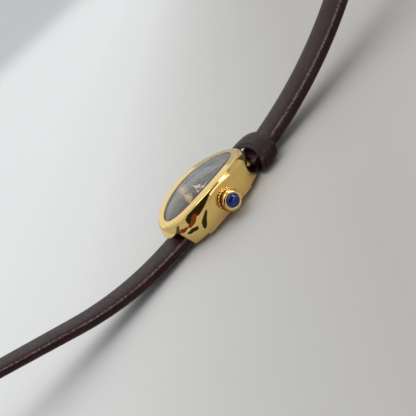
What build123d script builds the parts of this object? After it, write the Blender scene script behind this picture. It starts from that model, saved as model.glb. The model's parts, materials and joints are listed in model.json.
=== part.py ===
from build123d import *
import math
import os

# Small oval dress watch on a leather strap, laid open with the strap ends curving up.
# Millimetres. +Z points out of the dial, +Y to twelve o'clock, +X to the crown.
# The origin is the centre of the flat of the case back, on which the watch rests.

os.makedirs("parts", exist_ok=True)

# Case outline, an oval seen from the dial side and curved from twelve to six in side view
case_half_length = 12.45
case_half_width = 9.45
top_height = 7.85
top_curve_radius = 44.0
shoulder_size = 0.5
shoulder_easing = 0.2
widest_height = 5.6
flank_inset = 1.15
band_low_height = 0.9
seam_height = 7.15
seam_curve_radius = 27.0
belly_height = 1.6
belly_curve_radius = 62.0
lug_top_reach = 10.4
lug_low_reach = 9.35
lug_top_level = 4.9
cut_overrun = 2.0

# Crystal and its seat in the bezel
crystal_half_length = 9.4
crystal_half_width = 6.4
crystal_edge_gap = 0.03
crystal_thickness = 0.95
crystal_proud = 0.22
crystal_edge_round = 0.12
gasket_thickness = 0.18
ledge_width = 0.5
skirt_wall = 0.6

# Dial and hands
dial_height = 5.15
dial_thickness = 0.3
dial_edge_cover = 0.35
dial_edge_gap = 0.08
dial_hole_radius = 0.78
hour_hand_length = 2.3
minute_hand_length = 4.3
hand_width = 0.55
hand_tip_width = 0.16
hand_tail_length = 0.9
hand_thickness = 0.14
hand_boss_height = 0.26
hour_hand_height = 5.72
minute_hand_height = 6.22
hour_boss_radius = 0.9
minute_boss_radius = 0.62
shown_hour = 11
shown_minute = 45
minutes_per_hour = 60
hour_hand_step = 30.0
minute_hand_step = 6.0

# Strap bars and the recess between the lugs
strap_root_width = 8.0
recess_side_gap = 0.12
recess_wall_reach = 6.85
recess_ceiling_height = 4.55
bar_reach = 8.6
bar_height = 2.05
bar_radius = 0.4
bar_tip_radius = 0.25
bar_tip_length = 0.35
bar_strap_gap = 0.06
pin_gap = 0.02

# Case back and the inside of the band
back_half_width = 7.6
back_oval_half_length = 10.6
back_half_length = 6.35
back_flat_half_width = 3.0
back_rim_height = 1.05
back_plate_height = 1.3
back_side_gap = 0.04
back_seat_height = 1.55
cavity_radius = 7.0
cavity_half_length = 5.8
back_gasket_width = 0.35
back_gasket_thickness = 0.25
screw_x = 5.35
screw_y = 5.6
screw_head_radius = 0.5
screw_head_height = 0.3
screw_shank_radius = 0.3
screw_shank_length = 1.5
screw_slot_width = 0.14
screw_slot_depth = 0.12
screw_sink = 0.05

# Crown
crown_height = 3.85
crown_base_reach = 9.62
crown_base_length = 0.8
crown_neck_length = 0.12
crown_front_length = 1.15
crown_step_length = 0.22
crown_base_radius = 2.4
crown_neck_radius = 1.75
crown_front_radius = 2.0
crown_lip_radius = 1.72
crown_flute_depth = 0.3
crown_flute_count = 22
crown_recess_radius = 1.15
crown_recess_depth = 1.35
cabochon_radius = 1.45
cabochon_height = 0.85
cabochon_seat_depth = 0.3
tube_radius = 0.85
tube_bore_radius = 0.4
tube_inner_reach = 7.6
tube_outer_reach = 10.85
crown_gasket_length = 0.3
stem_radius = 0.35
stem_inner_reach = 2.95
stem_seat_depth = 0.25
stem_groove_radius = 0.22
stem_groove_reach = 3.7
stem_groove_length = 0.28
lever_thickness = 0.2
lever_half_width = 0.8
lever_slot_half_width = 0.25
lever_low_height = 3.4
lever_high_height = 4.2
crown_travel = 0.8

# Movement plates
plate_radius = 6.6
plate_half_length = 5.5
plate_low_height = 3.6
plate_thickness = 0.8
plate_rim_width = 0.35
plate_rim_low_height = 1.95
ring_gap = 0.06
stem_channel_gap = 0.06
bridge_height = 1.9
bridge_thickness = 0.35
bridge_screw_radius = 0.25
bridge_screw_head_radius = 0.42
bridge_screw_head_height = 0.2
pillar_radius = 0.55
pillar_one_x = -3.0
pillar_one_y = 4.2
pillar_two_x = 5.1
pillar_two_y = -1.3
bridge_corner_x = 4.3
bridge_corner_y = 3.5
pivot_radius = 0.14
pivot_gap = 0.03
arbor_radius = 0.2
centre_arbor_radius = 0.28
wheel_thickness = 0.14
wheel_gap = 0.1

# Going train and motion work
train_module = 0.1
centre_module = 0.11
motion_module = 0.12
centre_teeth = 48
third_teeth = 40
intermediate_teeth = 24
pinion_teeth = 8
cannon_teeth = 10
minute_teeth = 30
minute_pinion_teeth = 8
hour_teeth = 32
tooth_root_share = 0.30
tooth_tip_share = 0.11
tooth_addendum_share = 0.9
tooth_dedendum_share = 1.15
third_angle = 95.0
intermediate_angle = -20.0
rotor_angle = -30.0
minute_wheel_angle = 215.0
centre_wheel_height = 3.25
third_wheel_height = 2.85
intermediate_wheel_height = 2.4
rotor_magnet_radius = 0.6
rotor_magnet_height = 2.7
rotor_magnet_length = 0.45
cannon_radius = 0.42
cannon_low_height = 4.47
minute_wheel_height = 4.56
hour_wheel_height = 4.84
pipe_radius = 0.66
pipe_gap = 0.05
washer_thickness = 0.08
washer_radius = 1.2

# Motor, battery and circuit
battery_radius = 2.4
battery_thickness = 1.65
battery_height = 1.5
battery_x = -3.9
battery_gap = 0.08
battery_cap_radius = 1.97
battery_step = 0.12
clamp_thickness = 0.12
clamp_half_width = 0.6
coil_y = -4.1
coil_height = 2.65
coil_radius = 0.8
coil_left = -0.9
coil_right = 3.4
coil_flange_radius = 0.84
coil_flange_length = 0.18
core_half_width = 0.45
core_thickness = 0.4
core_tab_length = 0.85
stator_thickness = 0.3
stator_hole_radius = 0.72
stator_ring_radius = 0.98
stator_arm_width = 0.8
board_height = 1.62
board_thickness = 0.16
can_radius = 0.5
can_length = 2.6
can_x = -3.3
can_y = -3.55

# Strap, as widths and thicknesses at the case, at the edge of the view and at the end
upper_straight_length = 4.5
upper_start_slope = 4.3
upper_curve_radius = 113.0
upper_curve_slope = 28.5
upper_end_slope = 0.0
upper_strap_length = 72.0
lower_straight_length = 5.1
lower_start_slope = 1.0
lower_curve_radius = 64.8
lower_curve_slope = 21.2
lower_run_length = 32.0
lower_return_radius = 150.0
lower_strap_length = 106.0
upper_end_width = 7.8
lower_end_width = 5.9
root_thickness = 2.35
padding_length = 10.0
upper_padded_thickness = 2.85
lower_padded_thickness = 2.35
upper_end_thickness = 2.4
lower_end_thickness = 1.35
strap_edge_share = 0.3
strap_roll_radius = 1.5
strap_start_drop = 0.05
strap_stations = 18
tip_length = 5.0
tip_half_width = 1.4
hole_radius = 0.75
hole_count = 5
hole_pitch = 6.5
first_hole_from_tip = 24.0

# Keepers
keeper_wall = 0.6
keeper_inner_width = 8.5
keeper_inner_height = 3.8
keeper_length = 4.6
keeper_case_gap = 0.25
keeper_rest_gap = 0.06
keeper_tilt = 1.5
keeper_lean = 22.0
keeper_floor_gap = 0.08
keeper_corner_radius = 1.6
fixed_keeper_length = 4.0
fixed_keeper_from_bar = 8.0
fixed_keeper_inner_height = 3.9

# Buckle
buckle_bar_radius = 0.45
buckle_roll_radius = 1.25
buckle_inner_width = 8.2
buckle_length = 9.2
buckle_rail = 1.5
buckle_thickness = 1.3
buckle_corner_radius = 1.6
buckle_edge_round = 0.35
buckle_bar_inset = 1.3
tongue_width = 1.2
tongue_thickness = 0.8
tongue_slot_gap = 0.15
tongue_lift = 0.1


def flank_half_size(full_size, height):
    """Half size of the case's wall at a height; the flank draws in below its widest level."""
    drop = max(0.0, widest_height - height) / (widest_height - band_low_height)
    return full_size - flank_inset * drop ** 2


def oval(half_length, half_width, low, high):
    """Upright solid of oval plan."""
    return Pos(0, 0, low) * extrude(Ellipse(half_width, half_length), high - low)


def arch(height, radius):
    """Cylinder along X whose crest passes over the origin at the given height."""
    length = 2 * (case_half_width + cut_overrun)
    return Pos(0, 0, height - radius) * (Rot(0, 90, 0) * Cylinder(radius, length))


def disc(x, y, low, high, radius):
    """Upright cylinder between two heights."""
    return Pos(x, y, (low + high) / 2) * Cylinder(radius, high - low)


def block(x0, x1, y0, y1, z0, z1):
    """Box between two corners."""
    centre = Pos((x0 + x1) / 2, (y0 + y1) / 2, (z0 + z1) / 2)
    return centre * Box(x1 - x0, y1 - y0, z1 - z0)


def polar(distance, angle):
    """Plan position at a distance and an angle in degrees from the centre."""
    return (distance * math.cos(math.radians(angle)), distance * math.sin(math.radians(angle)))


def flat_ended_disc(radius, half_length, low, high):
    """Round plate with flats towards twelve and six o'clock."""
    reach = radius + cut_overrun
    return disc(0, 0, low, high, radius) & block(-reach, reach, -half_length, half_length, low, high)


def plate(points, low, thickness):
    """Flat plate from the corners of its outline."""
    outline = make_face(Polyline(*points, close=True))
    return Pos(0, 0, low) * extrude(outline, thickness)


def save(name, shape):
    """Write one node to its own file."""
    export_step(shape, f"parts/{name}.step")


# Case
def case_blank():
    """Whole outer form of the case before it is split into bezel and band."""
    sections = []
    for level in (0, widest_height / 2, widest_height):
        size = Ellipse(flank_half_size(case_half_width, level), flank_half_size(case_half_length, level))
        sections.append(Pos(0, 0, level) * size)
    tub = loft(sections) + oval(case_half_length, case_half_width, widest_height, top_height + cut_overrun)
    tub = tub & arch(top_height, top_curve_radius)
    tub = chamfer(crest_edges(tub), shoulder_size)
    return chamfer(crest_edges(tub), shoulder_easing)


def crest_edges(blank):
    """Edges that run all round the case where its top meets the flank."""
    return [e for e in blank.edges() if e.bounding_box().size.Y > case_half_length
            and e.bounding_box().max.Z > widest_height + shoulder_size]


def bezel_shape(blank):
    """Oval top of the case: a shoulder over the band, tips over the strap, a skirt round the dial."""
    outer = blank - arch(seam_height, seam_curve_radius)
    skirt_low = dial_height + dial_thickness + dial_edge_gap
    skirt = oval(crystal_half_length + crystal_edge_gap + dial_edge_gap,
                 crystal_half_width + skirt_wall, skirt_low, top_height)
    skirt = skirt & arch(top_height, top_curve_radius)
    ring = outer + skirt
    opening = oval(crystal_half_length - ledge_width, crystal_half_width - ledge_width,
                   0, top_height + cut_overrun)
    seat = oval(crystal_half_length + crystal_edge_gap, crystal_half_width + crystal_edge_gap,
                0, top_height + cut_overrun)
    ledge_depth = crystal_thickness + gasket_thickness
    seat = seat - arch(top_height + crystal_proud - ledge_depth, top_curve_radius - ledge_depth)
    return ring - opening - seat - dial_pocket(skirt_low)


def band_shape(blank):
    """Middle of the case: flanks that end in four lug corners, and a deck under the dial."""
    band = blank & arch(seam_height, seam_curve_radius)
    band = band - arch(belly_height, belly_curve_radius)
    rise = lug_top_level - band_low_height
    lean = (lug_top_reach - lug_low_reach) / rise
    low_reach = lug_low_reach - lean * band_low_height
    high_reach = lug_low_reach + lean * (seam_height - band_low_height)
    side = make_face(Polyline((-low_reach, 0), (low_reach, 0), (high_reach, seam_height),
                              (-high_reach, seam_height), close=True))
    reach = case_half_width + cut_overrun
    trim = extrude(Plane.YZ * side, reach, both=True)
    band = band & trim
    half_recess = strap_root_width / 2 + recess_side_gap
    for way in (-1, 1):
        near, far = sorted((way * recess_wall_reach, way * case_half_length))
        band = band - block(-half_recess, half_recess, near, far, 0, recess_ceiling_height)
        band = band - spring_bar_cutter(way)
    band = band - dial_pocket(seam_height + cut_overrun)
    band = band - flat_ended_disc(cavity_radius, cavity_half_length, back_seat_height, dial_height)
    band = band - back_outline(0, back_seat_height, back_side_gap)
    band = band - along_x(tube_radius, cavity_radius - cut_overrun, case_half_width + cut_overrun)
    for x, y in screw_places():
        band = band - disc(x, y, 0, screw_head_top() + screw_shank_length, screw_shank_radius)
    return band


def dial_pocket(high):
    """Oval room from the dial's seat up to a height."""
    return oval(crystal_half_length + 2 * dial_edge_gap, crystal_half_width + skirt_wall + dial_edge_gap,
                dial_height, high)


def along_x(radius, start, end):
    """Cylinder on the crown's axis between two distances from the centre."""
    centre = Pos((start + end) / 2, 0, crown_height)
    return centre * (Rot(0, 90, 0) * Cylinder(radius, end - start))


def crystal_shape():
    """Glass bent along the case, with its edge eased."""
    glass = oval(crystal_half_length, crystal_half_width, 0, top_height + cut_overrun)
    crest = top_height + crystal_proud
    glass = glass & arch(crest, top_curve_radius)
    glass = glass - arch(crest - crystal_thickness, top_curve_radius - crystal_thickness)
    rim = [e for e in glass.edges() if e.bounding_box().size.Y > crystal_half_length
           and e.bounding_box().max.Z > crest - crystal_thickness / 2]
    return chamfer(rim, crystal_edge_round)


def crystal_gasket_shape():
    """Thin curved ring on the ledge under the glass."""
    base = top_height + crystal_proud - crystal_thickness
    ring = oval(crystal_half_length, crystal_half_width, 0, top_height)
    ring = ring - oval(crystal_half_length - ledge_width, crystal_half_width - ledge_width, 0, top_height)
    ring = ring & arch(base, top_curve_radius - crystal_thickness)
    return ring - arch(base - gasket_thickness, top_curve_radius - crystal_thickness - gasket_thickness)


def back_outline(low, high, grow):
    """Plan of the case back as an upright solid, grown by a clearance."""
    solid = oval(back_oval_half_length + grow, back_half_width + grow, low, high)
    reach = back_half_width + cut_overrun
    half_length = back_half_length + grow
    return solid & block(-reach, reach, -half_length, half_length, low, high)


def back_rise(x):
    """Height of the case back's outer face, flat in the middle and curved up to its sides."""
    run = back_half_width - back_flat_half_width
    radius = (run ** 2 + back_rim_height ** 2) / (2 * back_rim_height)
    out = max(0.0, abs(x) - back_flat_half_width)
    return radius - math.sqrt(radius ** 2 - out ** 2)


def case_back_shape():
    """Cover with a flat to rest on, curved up towards its two sides."""
    cover = back_outline(0, back_seat_height, 0)
    middle = (back_half_width + back_flat_half_width) / 2
    section = make_face(
        Line((-back_flat_half_width, 0), (back_flat_half_width, 0))
        + ThreePointArc((back_flat_half_width, 0), (middle, back_rise(middle)),
                        (back_half_width, back_rim_height))
        + Line((back_half_width, back_rim_height), (back_half_width, back_seat_height))
        + Line((back_half_width, back_seat_height), (-back_half_width, back_seat_height))
        + Line((-back_half_width, back_seat_height), (-back_half_width, back_rim_height))
        + ThreePointArc((-back_half_width, back_rim_height), (-middle, back_rise(middle)),
                        (-back_flat_half_width, 0)))
    cover = cover & extrude(Plane.XZ * section, back_half_length, both=True)
    cover = cover - back_room(back_plate_height, back_seat_height)
    for x, y in screw_places():
        cover = cover - disc(x, y, 0, screw_head_top(), screw_head_radius + pin_gap)
        cover = cover - disc(x, y, 0, back_seat_height, screw_shank_radius + pin_gap)
    return cover


def back_room(low, high):
    """Room inside the rim of the case back and inside its gasket."""
    inset = back_gasket_width + back_side_gap
    return flat_ended_disc(cavity_radius - inset, cavity_half_length - inset, low, high)


def back_gasket_shape():
    """Flat seal on the cover's rim, just inside the band."""
    high = back_seat_height + back_gasket_thickness
    ring = flat_ended_disc(cavity_radius - pin_gap, cavity_half_length - pin_gap, back_seat_height, high)
    return ring - back_room(back_seat_height, high)


def screw_head_top():
    """Height of the seat under a case back screw's head."""
    return back_rise(screw_x + screw_head_radius) + screw_sink + screw_head_height


def screw_places():
    """The four corners of the case back where its screws stand."""
    return [(i * screw_x, j * screw_y) for i in (-1, 1) for j in (-1, 1)]


def case_back_screw_shapes():
    """Four slotted screws through the case back into the band."""
    screws = []
    for x, y in screw_places():
        top = screw_head_top()
        head = disc(x, y, top - screw_head_height, top, screw_head_radius)
        shank = disc(x, y, top, top + screw_shank_length, screw_shank_radius)
        slot = block(x - screw_head_radius, x + screw_head_radius, y - screw_slot_width / 2,
                     y + screw_slot_width / 2, top - screw_head_height,
                     top - screw_head_height + screw_slot_depth)
        screws.append(head + shank - slot)
    return Compound(children=screws)


def spring_bar_cutter(way):
    """Blind holes in the two lugs of one side for the ends of the spring bar."""
    reach = strap_root_width / 2 + recess_side_gap + bar_tip_length + pin_gap
    bar = Rot(0, 90, 0) * Cylinder(bar_tip_radius + pin_gap, 2 * reach)
    return Pos(0, way * bar_reach, bar_height) * bar


def spring_bar_shapes():
    """Two telescopic bars, each a tube with thinner tips in the lugs."""
    bars = []
    body = strap_root_width / 2 + recess_side_gap - pin_gap
    for way in (-1, 1):
        tube = Rot(0, 90, 0) * Cylinder(bar_radius, 2 * body)
        tips = Rot(0, 90, 0) * Cylinder(bar_tip_radius, 2 * (body + bar_tip_length))
        bars.append(Pos(0, way * bar_reach, bar_height) * (tube + tips))
    return Compound(children=bars)


# Dial and hands
def dial_shape():
    """Oval dial with a centre hole, held between the band and the bezel's skirt."""
    top = dial_height + dial_thickness
    sheet = oval(crystal_half_length - dial_edge_gap, crystal_half_width + dial_edge_cover,
                 dial_height, top)
    return sheet - disc(0, 0, dial_height, top, dial_hole_radius)


def hand_shape(length, base, bore, boss):
    """Tapered hand pointing to twelve, with a boss round its pipe."""
    outline = make_face(Polyline((-hand_width / 2, -hand_tail_length), (hand_width / 2, -hand_tail_length),
                                 (hand_width / 2, 0), (hand_tip_width / 2, length),
                                 (-hand_tip_width / 2, length), (-hand_width / 2, 0), close=True))
    hand = Pos(0, 0, base) * extrude(outline, hand_thickness)
    hand = hand + disc(0, 0, base, base + hand_boss_height, boss)
    return hand - disc(0, 0, base, base + hand_boss_height, bore)


def turned(shape, clock_angle):
    """Turn a shape clockwise about the dial's centre."""
    return Rot(0, 0, -clock_angle) * shape


# Wheels
def tooth_phase(teeth, phase, mate_teeth, direction):
    """Phase of a wheel that meshes with another lying in a direction from it."""
    offset = (direction - phase) * teeth / 360
    return direction + 180 - (0.5 - offset) * 360 / mate_teeth


def gear_outline(teeth, module, phase):
    """Flat outline of a gear with straight-sided teeth."""
    outer = module * (teeth / 2 + tooth_addendum_share)
    root = module * (teeth / 2 - tooth_dedendum_share)
    pitch = 360 / teeth
    points = []
    for tooth in range(teeth):
        middle = phase + tooth * pitch
        for radius, share in ((root, -tooth_root_share), (outer, -tooth_tip_share),
                              (outer, tooth_tip_share), (root, tooth_root_share)):
            points.append(polar(radius, middle + share * pitch))
    return make_face(Polyline(*points, close=True))


def pinion(x, y, low, high, teeth, module, phase):
    """Solid toothed pinion between two heights."""
    return Pos(x, y, low) * extrude(gear_outline(teeth, module, phase), high - low)


def wheel(x, y, low, teeth, module, phase):
    """Thin toothed disc, as in small quartz movements."""
    return Pos(x, y, low) * extrude(gear_outline(teeth, module, phase), wheel_thickness)


def third_place():
    """Plan position of the third wheel's arbor."""
    return polar(centre_module * (centre_teeth + pinion_teeth) / 2, third_angle)


def intermediate_place():
    """Plan position of the intermediate wheel's arbor."""
    x, y = third_place()
    dx, dy = polar(train_module * (third_teeth + pinion_teeth) / 2, intermediate_angle)
    return (x + dx, y + dy)


def rotor_place():
    """Plan position of the rotor's arbor."""
    x, y = intermediate_place()
    dx, dy = polar(train_module * (intermediate_teeth + pinion_teeth) / 2, rotor_angle)
    return (x + dx, y + dy)


def minute_wheel_place():
    """Plan position of the minute wheel's post."""
    return polar(motion_module * (cannon_teeth + minute_teeth) / 2, minute_wheel_angle)


third_pinion_phase = tooth_phase(centre_teeth, 0, pinion_teeth, third_angle)
intermediate_pinion_phase = tooth_phase(third_teeth, third_pinion_phase, pinion_teeth, intermediate_angle)
rotor_pinion_phase = tooth_phase(intermediate_teeth, intermediate_pinion_phase, pinion_teeth, rotor_angle)
minute_wheel_phase = tooth_phase(cannon_teeth, 0, minute_teeth, minute_wheel_angle)
hour_wheel_phase = tooth_phase(minute_pinion_teeth, minute_wheel_phase, hour_teeth, minute_wheel_angle + 180)


def centre_wheel_shape():
    """Wheel that turns once an hour, on the arbor that carries the cannon pinion."""
    body = wheel(0, 0, centre_wheel_height, centre_teeth, centre_module, 0)
    body = body + disc(0, 0, bridge_height + bridge_thickness + wheel_gap / 2,
                       plate_low_height - wheel_gap / 2, centre_arbor_radius)
    return body + disc(0, 0, bridge_height, minute_hand_height, arbor_radius)


def cannon_pinion_shape():
    """Tube with leaves, pushed on the centre arbor, that carries the minute hand."""
    body = pinion(0, 0, cannon_low_height, hour_wheel_height - wheel_gap, cannon_teeth, motion_module, 0)
    body = body + disc(0, 0, cannon_low_height, minute_hand_height + hand_boss_height, cannon_radius)
    return body - disc(0, 0, cannon_low_height, minute_hand_height, arbor_radius)


def minute_wheel_shape():
    """Wheel and pinion between cannon pinion and hour wheel, loose on a post."""
    x, y = minute_wheel_place()
    body = wheel(x, y, minute_wheel_height, minute_teeth, motion_module, minute_wheel_phase)
    body = body + pinion(x, y, minute_wheel_height + wheel_thickness, hour_wheel_height + wheel_thickness
                         + washer_thickness, minute_pinion_teeth, motion_module, minute_wheel_phase)
    top = hour_wheel_height + wheel_thickness + washer_thickness
    return body - disc(x, y, minute_wheel_height, top, arbor_radius + pivot_gap)


def hour_wheel_shape():
    """Wheel that turns once in twelve hours, with the pipe that carries the hour hand."""
    body = wheel(0, 0, hour_wheel_height, hour_teeth, motion_module, hour_wheel_phase)
    body = body + disc(0, 0, hour_wheel_height, hour_hand_height + hand_boss_height, pipe_radius)
    return body - disc(0, 0, hour_wheel_height, hour_hand_height + hand_boss_height,
                       cannon_radius + pipe_gap)


def train_wheel(place, wheel_low, teeth, phase, leaves_low, leaves_high, leaf_module):
    """Train wheel and pinion on one arbor between bridge and plate."""
    x, y = place
    body = pinion(x, y, leaves_low, leaves_high, pinion_teeth, leaf_module, phase)
    body = body + wheel(x, y, wheel_low, teeth, train_module, phase)
    body = body + disc(x, y, bridge_height + bridge_thickness + wheel_gap / 2,
                       plate_low_height - wheel_gap / 2, arbor_radius)
    return body + disc(x, y, bridge_height + wheel_gap / 2, plate_low_height + plate_thickness / 2,
                       pivot_radius)


def third_wheel_shape():
    """Third wheel, whose pinion drives the centre wheel."""
    high = plate_low_height - wheel_gap
    return train_wheel(third_place(), third_wheel_height, third_teeth, third_pinion_phase,
                       third_wheel_height, high, centre_module)


def intermediate_wheel_shape():
    """Intermediate wheel between the rotor and the third wheel."""
    high = third_wheel_height + wheel_thickness + wheel_gap
    return train_wheel(intermediate_place(), intermediate_wheel_height, intermediate_teeth,
                       intermediate_pinion_phase, intermediate_wheel_height, high, train_module)


def rotor_shape():
    """Magnet disc and pinion of the stepping motor."""
    x, y = rotor_place()
    low = bridge_height + bridge_thickness + wheel_gap / 2
    body = pinion(x, y, low, rotor_magnet_height, pinion_teeth, train_module, rotor_pinion_phase)
    body = body + disc(x, y, rotor_magnet_height, rotor_magnet_height + rotor_magnet_length,
                       rotor_magnet_radius)
    return body + disc(x, y, bridge_height + wheel_gap / 2, plate_low_height + plate_thickness / 2,
                       pivot_radius)


def washer_shape():
    """Thin spring washer between hour wheel and dial."""
    low = dial_height - washer_thickness
    return disc(0, 0, low, dial_height, washer_radius) - disc(0, 0, low, dial_height,
                                                             pipe_radius + pipe_gap)


# Movement plates, motor and battery
def bridge_screw_places():
    """Plan positions of the two pillars and screws that carry the train bridge."""
    return [(pillar_one_x, pillar_one_y), (pillar_two_x, pillar_two_y)]


def main_plate_shape():
    """Base plate of the movement with rim, pillars, motion work post and bearings."""
    top = plate_low_height + plate_thickness
    body = flat_ended_disc(plate_radius, plate_half_length, plate_rim_low_height, top)
    inside = flat_ended_disc(plate_radius - plate_rim_width, plate_half_length - plate_rim_width,
                             plate_rim_low_height, plate_low_height)
    body = body - inside
    for x, y in bridge_screw_places():
        body = body + disc(x, y, bridge_height + bridge_thickness, plate_low_height, pillar_radius)
        body = body - disc(x, y, bridge_height, plate_low_height, bridge_screw_radius)
    seat = disc(battery_x, 0, battery_height + battery_thickness, plate_low_height, battery_radius)
    seat = seat & flat_ended_disc(plate_radius, plate_half_length, plate_rim_low_height, top)
    wheel_reach = centre_module * (centre_teeth / 2 + tooth_addendum_share) + wheel_gap
    seat = seat - disc(0, 0, plate_rim_low_height, plate_low_height, wheel_reach)
    body = body + seat
    body = body - disc(battery_x, 0, plate_rim_low_height, battery_height + battery_thickness,
                       battery_radius + battery_gap)
    x, y = minute_wheel_place()
    body = body + disc(x, y, top, dial_height - dial_edge_gap, arbor_radius)
    body = body + disc(x, y, top, minute_wheel_height - wheel_gap / 2, 2 * arbor_radius)
    body = body - disc(0, 0, plate_low_height, top, arbor_radius + pivot_gap)
    for px, py in (third_place(), intermediate_place(), rotor_place()):
        body = body - disc(px, py, plate_low_height, top, pivot_radius + pivot_gap)
    body = body - along_x(stem_radius + stem_channel_gap, stem_inner_reach - wheel_gap,
                          plate_radius + cut_overrun)
    half = lever_half_width + stem_channel_gap
    body = body - block(stem_groove_reach - wheel_gap, stem_groove_reach + stem_groove_length
                        + crown_travel + wheel_gap, -half, half, plate_low_height,
                        lever_high_height + stem_channel_gap / 2)
    return body


def train_bridge_shape():
    """Bridge that carries the lower pivots of the train."""
    (ax, ay), (bx, by) = bridge_screw_places()
    edge = pillar_radius + wheel_gap
    points = [(ax - edge, ay - edge), (ax, ay + edge), (bridge_corner_x, bridge_corner_y + edge),
              (bridge_corner_x + edge, bridge_corner_y), (bx + edge, by), (bx, by - edge), (-edge, -edge)]
    body = plate(points, bridge_height, bridge_thickness)
    corners = body.edges().filter_by(Axis.Z)
    body = fillet(corners, pillar_radius / 2)
    body = body - disc(0, 0, bridge_height, bridge_height + bridge_thickness, arbor_radius + pivot_gap)
    for x, y in (third_place(), intermediate_place(), rotor_place()):
        body = body - disc(x, y, bridge_height, bridge_height + bridge_thickness,
                           pivot_radius + pivot_gap)
    for x, y in bridge_screw_places():
        body = body - disc(x, y, bridge_height, bridge_height + bridge_thickness,
                           bridge_screw_radius + pin_gap)
    return body - disc(battery_x, 0, bridge_height, bridge_height + bridge_thickness,
                       battery_radius + battery_gap)


def bridge_screw_shapes():
    """Two screws from below through the bridge into the pillars."""
    screws = []
    for x, y in bridge_screw_places():
        head = disc(x, y, bridge_height - bridge_screw_head_height, bridge_height,
                    bridge_screw_head_radius)
        shank = disc(x, y, bridge_height, plate_low_height - wheel_gap, bridge_screw_radius)
        slot = block(x - bridge_screw_head_radius, x + bridge_screw_head_radius,
                     y - screw_slot_width / 2, y + screw_slot_width / 2,
                     bridge_height - bridge_screw_head_height,
                     bridge_height - bridge_screw_head_height / 2)
        screws.append(head + shank - slot)
    return Compound(children=screws)


def movement_ring_shape():
    """Plastic ring that centres the movement in the case."""
    top = plate_low_height + plate_thickness
    low = plate_rim_low_height
    ring = flat_ended_disc(cavity_radius - ring_gap, cavity_half_length - ring_gap, low, top)
    ring = ring - flat_ended_disc(plate_radius + ring_gap, plate_half_length + ring_gap, low, top)
    return ring - along_x(stem_radius + stem_channel_gap, plate_radius - cut_overrun,
                          cavity_radius + cut_overrun)


def battery_shape():
    """Button cell with a stepped cap."""
    high = battery_height + battery_thickness
    can = disc(battery_x, 0, battery_height, high - battery_step, battery_radius)
    return can + disc(battery_x, 0, high - battery_step, high, battery_cap_radius)


def battery_clamp_shape():
    """Spring strip across the battery, bent up beside it to a foot on the main plate."""
    left = battery_x - clamp_half_width
    right = battery_x + clamp_half_width
    near = battery_radius + battery_gap
    far = near + clamp_thickness
    strip = block(left, right, -battery_cap_radius, far, battery_height - clamp_thickness, battery_height)
    leg = block(left, right, near, far, battery_height, plate_low_height)
    return strip + leg


def coil_shape():
    """Wound coil between two flanges, bored for its core."""
    y, z = coil_y, coil_height
    length = coil_right - coil_left
    winding = Rot(0, 90, 0) * Cylinder(coil_radius, length - 2 * coil_flange_length)
    body = Pos((coil_left + coil_right) / 2, y, z) * winding
    for x in (coil_left + coil_flange_length / 2, coil_right - coil_flange_length / 2):
        body = body + Pos(x, y, z) * (Rot(0, 90, 0) * Cylinder(coil_flange_radius, coil_flange_length))
    return body - block(coil_left, coil_right, y - core_half_width, y + core_half_width,
                        z - core_thickness / 2, z + core_thickness / 2)


def coil_core_shape():
    """Soft iron bar through the coil with a tab at each end."""
    z = coil_height
    return block(coil_left - core_tab_length, coil_right + core_tab_length, coil_y - core_half_width,
                 coil_y + core_half_width, z - core_thickness / 2, z + core_thickness / 2)


def stator_shape():
    """Two-armed stator from the core's tabs to a ring round the rotor."""
    x, y = rotor_place()
    low = coil_height + core_thickness / 2
    left = coil_left - core_tab_length
    right = coil_right + core_tab_length
    tab_low = coil_y - core_half_width
    knee = coil_y + coil_flange_radius + wheel_gap
    arm = stator_arm_width
    left_arm = plate([(left, tab_low), (left + arm, tab_low), (left + arm, knee),
                      (x - stator_ring_radius / 2, knee + arm), (x - stator_ring_radius / 2, y),
                      (x - stator_ring_radius / 2 - arm, y - stator_ring_radius),
                      (x - stator_ring_radius / 2 - arm, knee + 2 * arm), (left, knee + arm)],
                     low, stator_thickness)
    right_arm = plate([(right - arm, tab_low), (right, tab_low), (right, knee + arm),
                       (x + stator_ring_radius, y), (x + stator_ring_radius / 2, y - arm / 2),
                       (right - arm, knee + arm)], low, stator_thickness)
    ring = disc(x, y, low, low + stator_thickness, stator_ring_radius)
    body = left_arm + right_arm + ring
    return body - disc(x, y, low, low + stator_thickness, stator_hole_radius)


def circuit_board_shape():
    """Small board under the coil."""
    left = coil_left - core_tab_length + wheel_gap
    right = coil_right + core_tab_length
    low = coil_y - coil_flange_radius
    high = coil_y + coil_flange_radius + wheel_gap
    return plate([(left, high), (left, low + pillar_radius), (left + pillar_radius, low),
                  (right - pillar_radius * 2, low), (right, low + pillar_radius * 2), (right, high)],
                 board_height, board_thickness)


def quartz_can_shape():
    """Metal can of the timing crystal, under the main plate."""
    z = plate_low_height - can_radius
    return Pos(can_x, can_y, z) * (Rot(0, 90, 0) * Cylinder(can_radius, can_length))


# Crown and winding stem
def crown_shape():
    """Crown with a beaded base ring, a stepped front and a seat for the cabochon."""
    x0 = crown_base_reach
    x1 = x0 + crown_base_length
    x2 = x1 + crown_neck_length
    x3 = x2 + crown_front_length - crown_step_length
    x4 = x3 + crown_step_length
    section = make_face(Polyline((x1, 0), (x1, crown_neck_radius), (x2, crown_neck_radius),
                                 (x2, crown_front_radius), (x3, crown_front_radius),
                                 (x4, crown_lip_radius), (x4, 0), close=True))
    body = Pos(0, 0, crown_height) * revolve(Plane.XZ * section, Axis.X)
    ring = extrude(Plane.YZ * crown_ring_outline(), crown_base_length)
    body = body + Pos(x0, 0, crown_height) * ring
    recess_end = x0 + crown_recess_depth
    body = body - along_x(crown_recess_radius, x0, recess_end)
    body = body - along_x(stem_radius, recess_end, recess_end + stem_seat_depth)
    return body - along_x(cabochon_radius + pin_gap, x4 - cabochon_seat_depth, x4)


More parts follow.
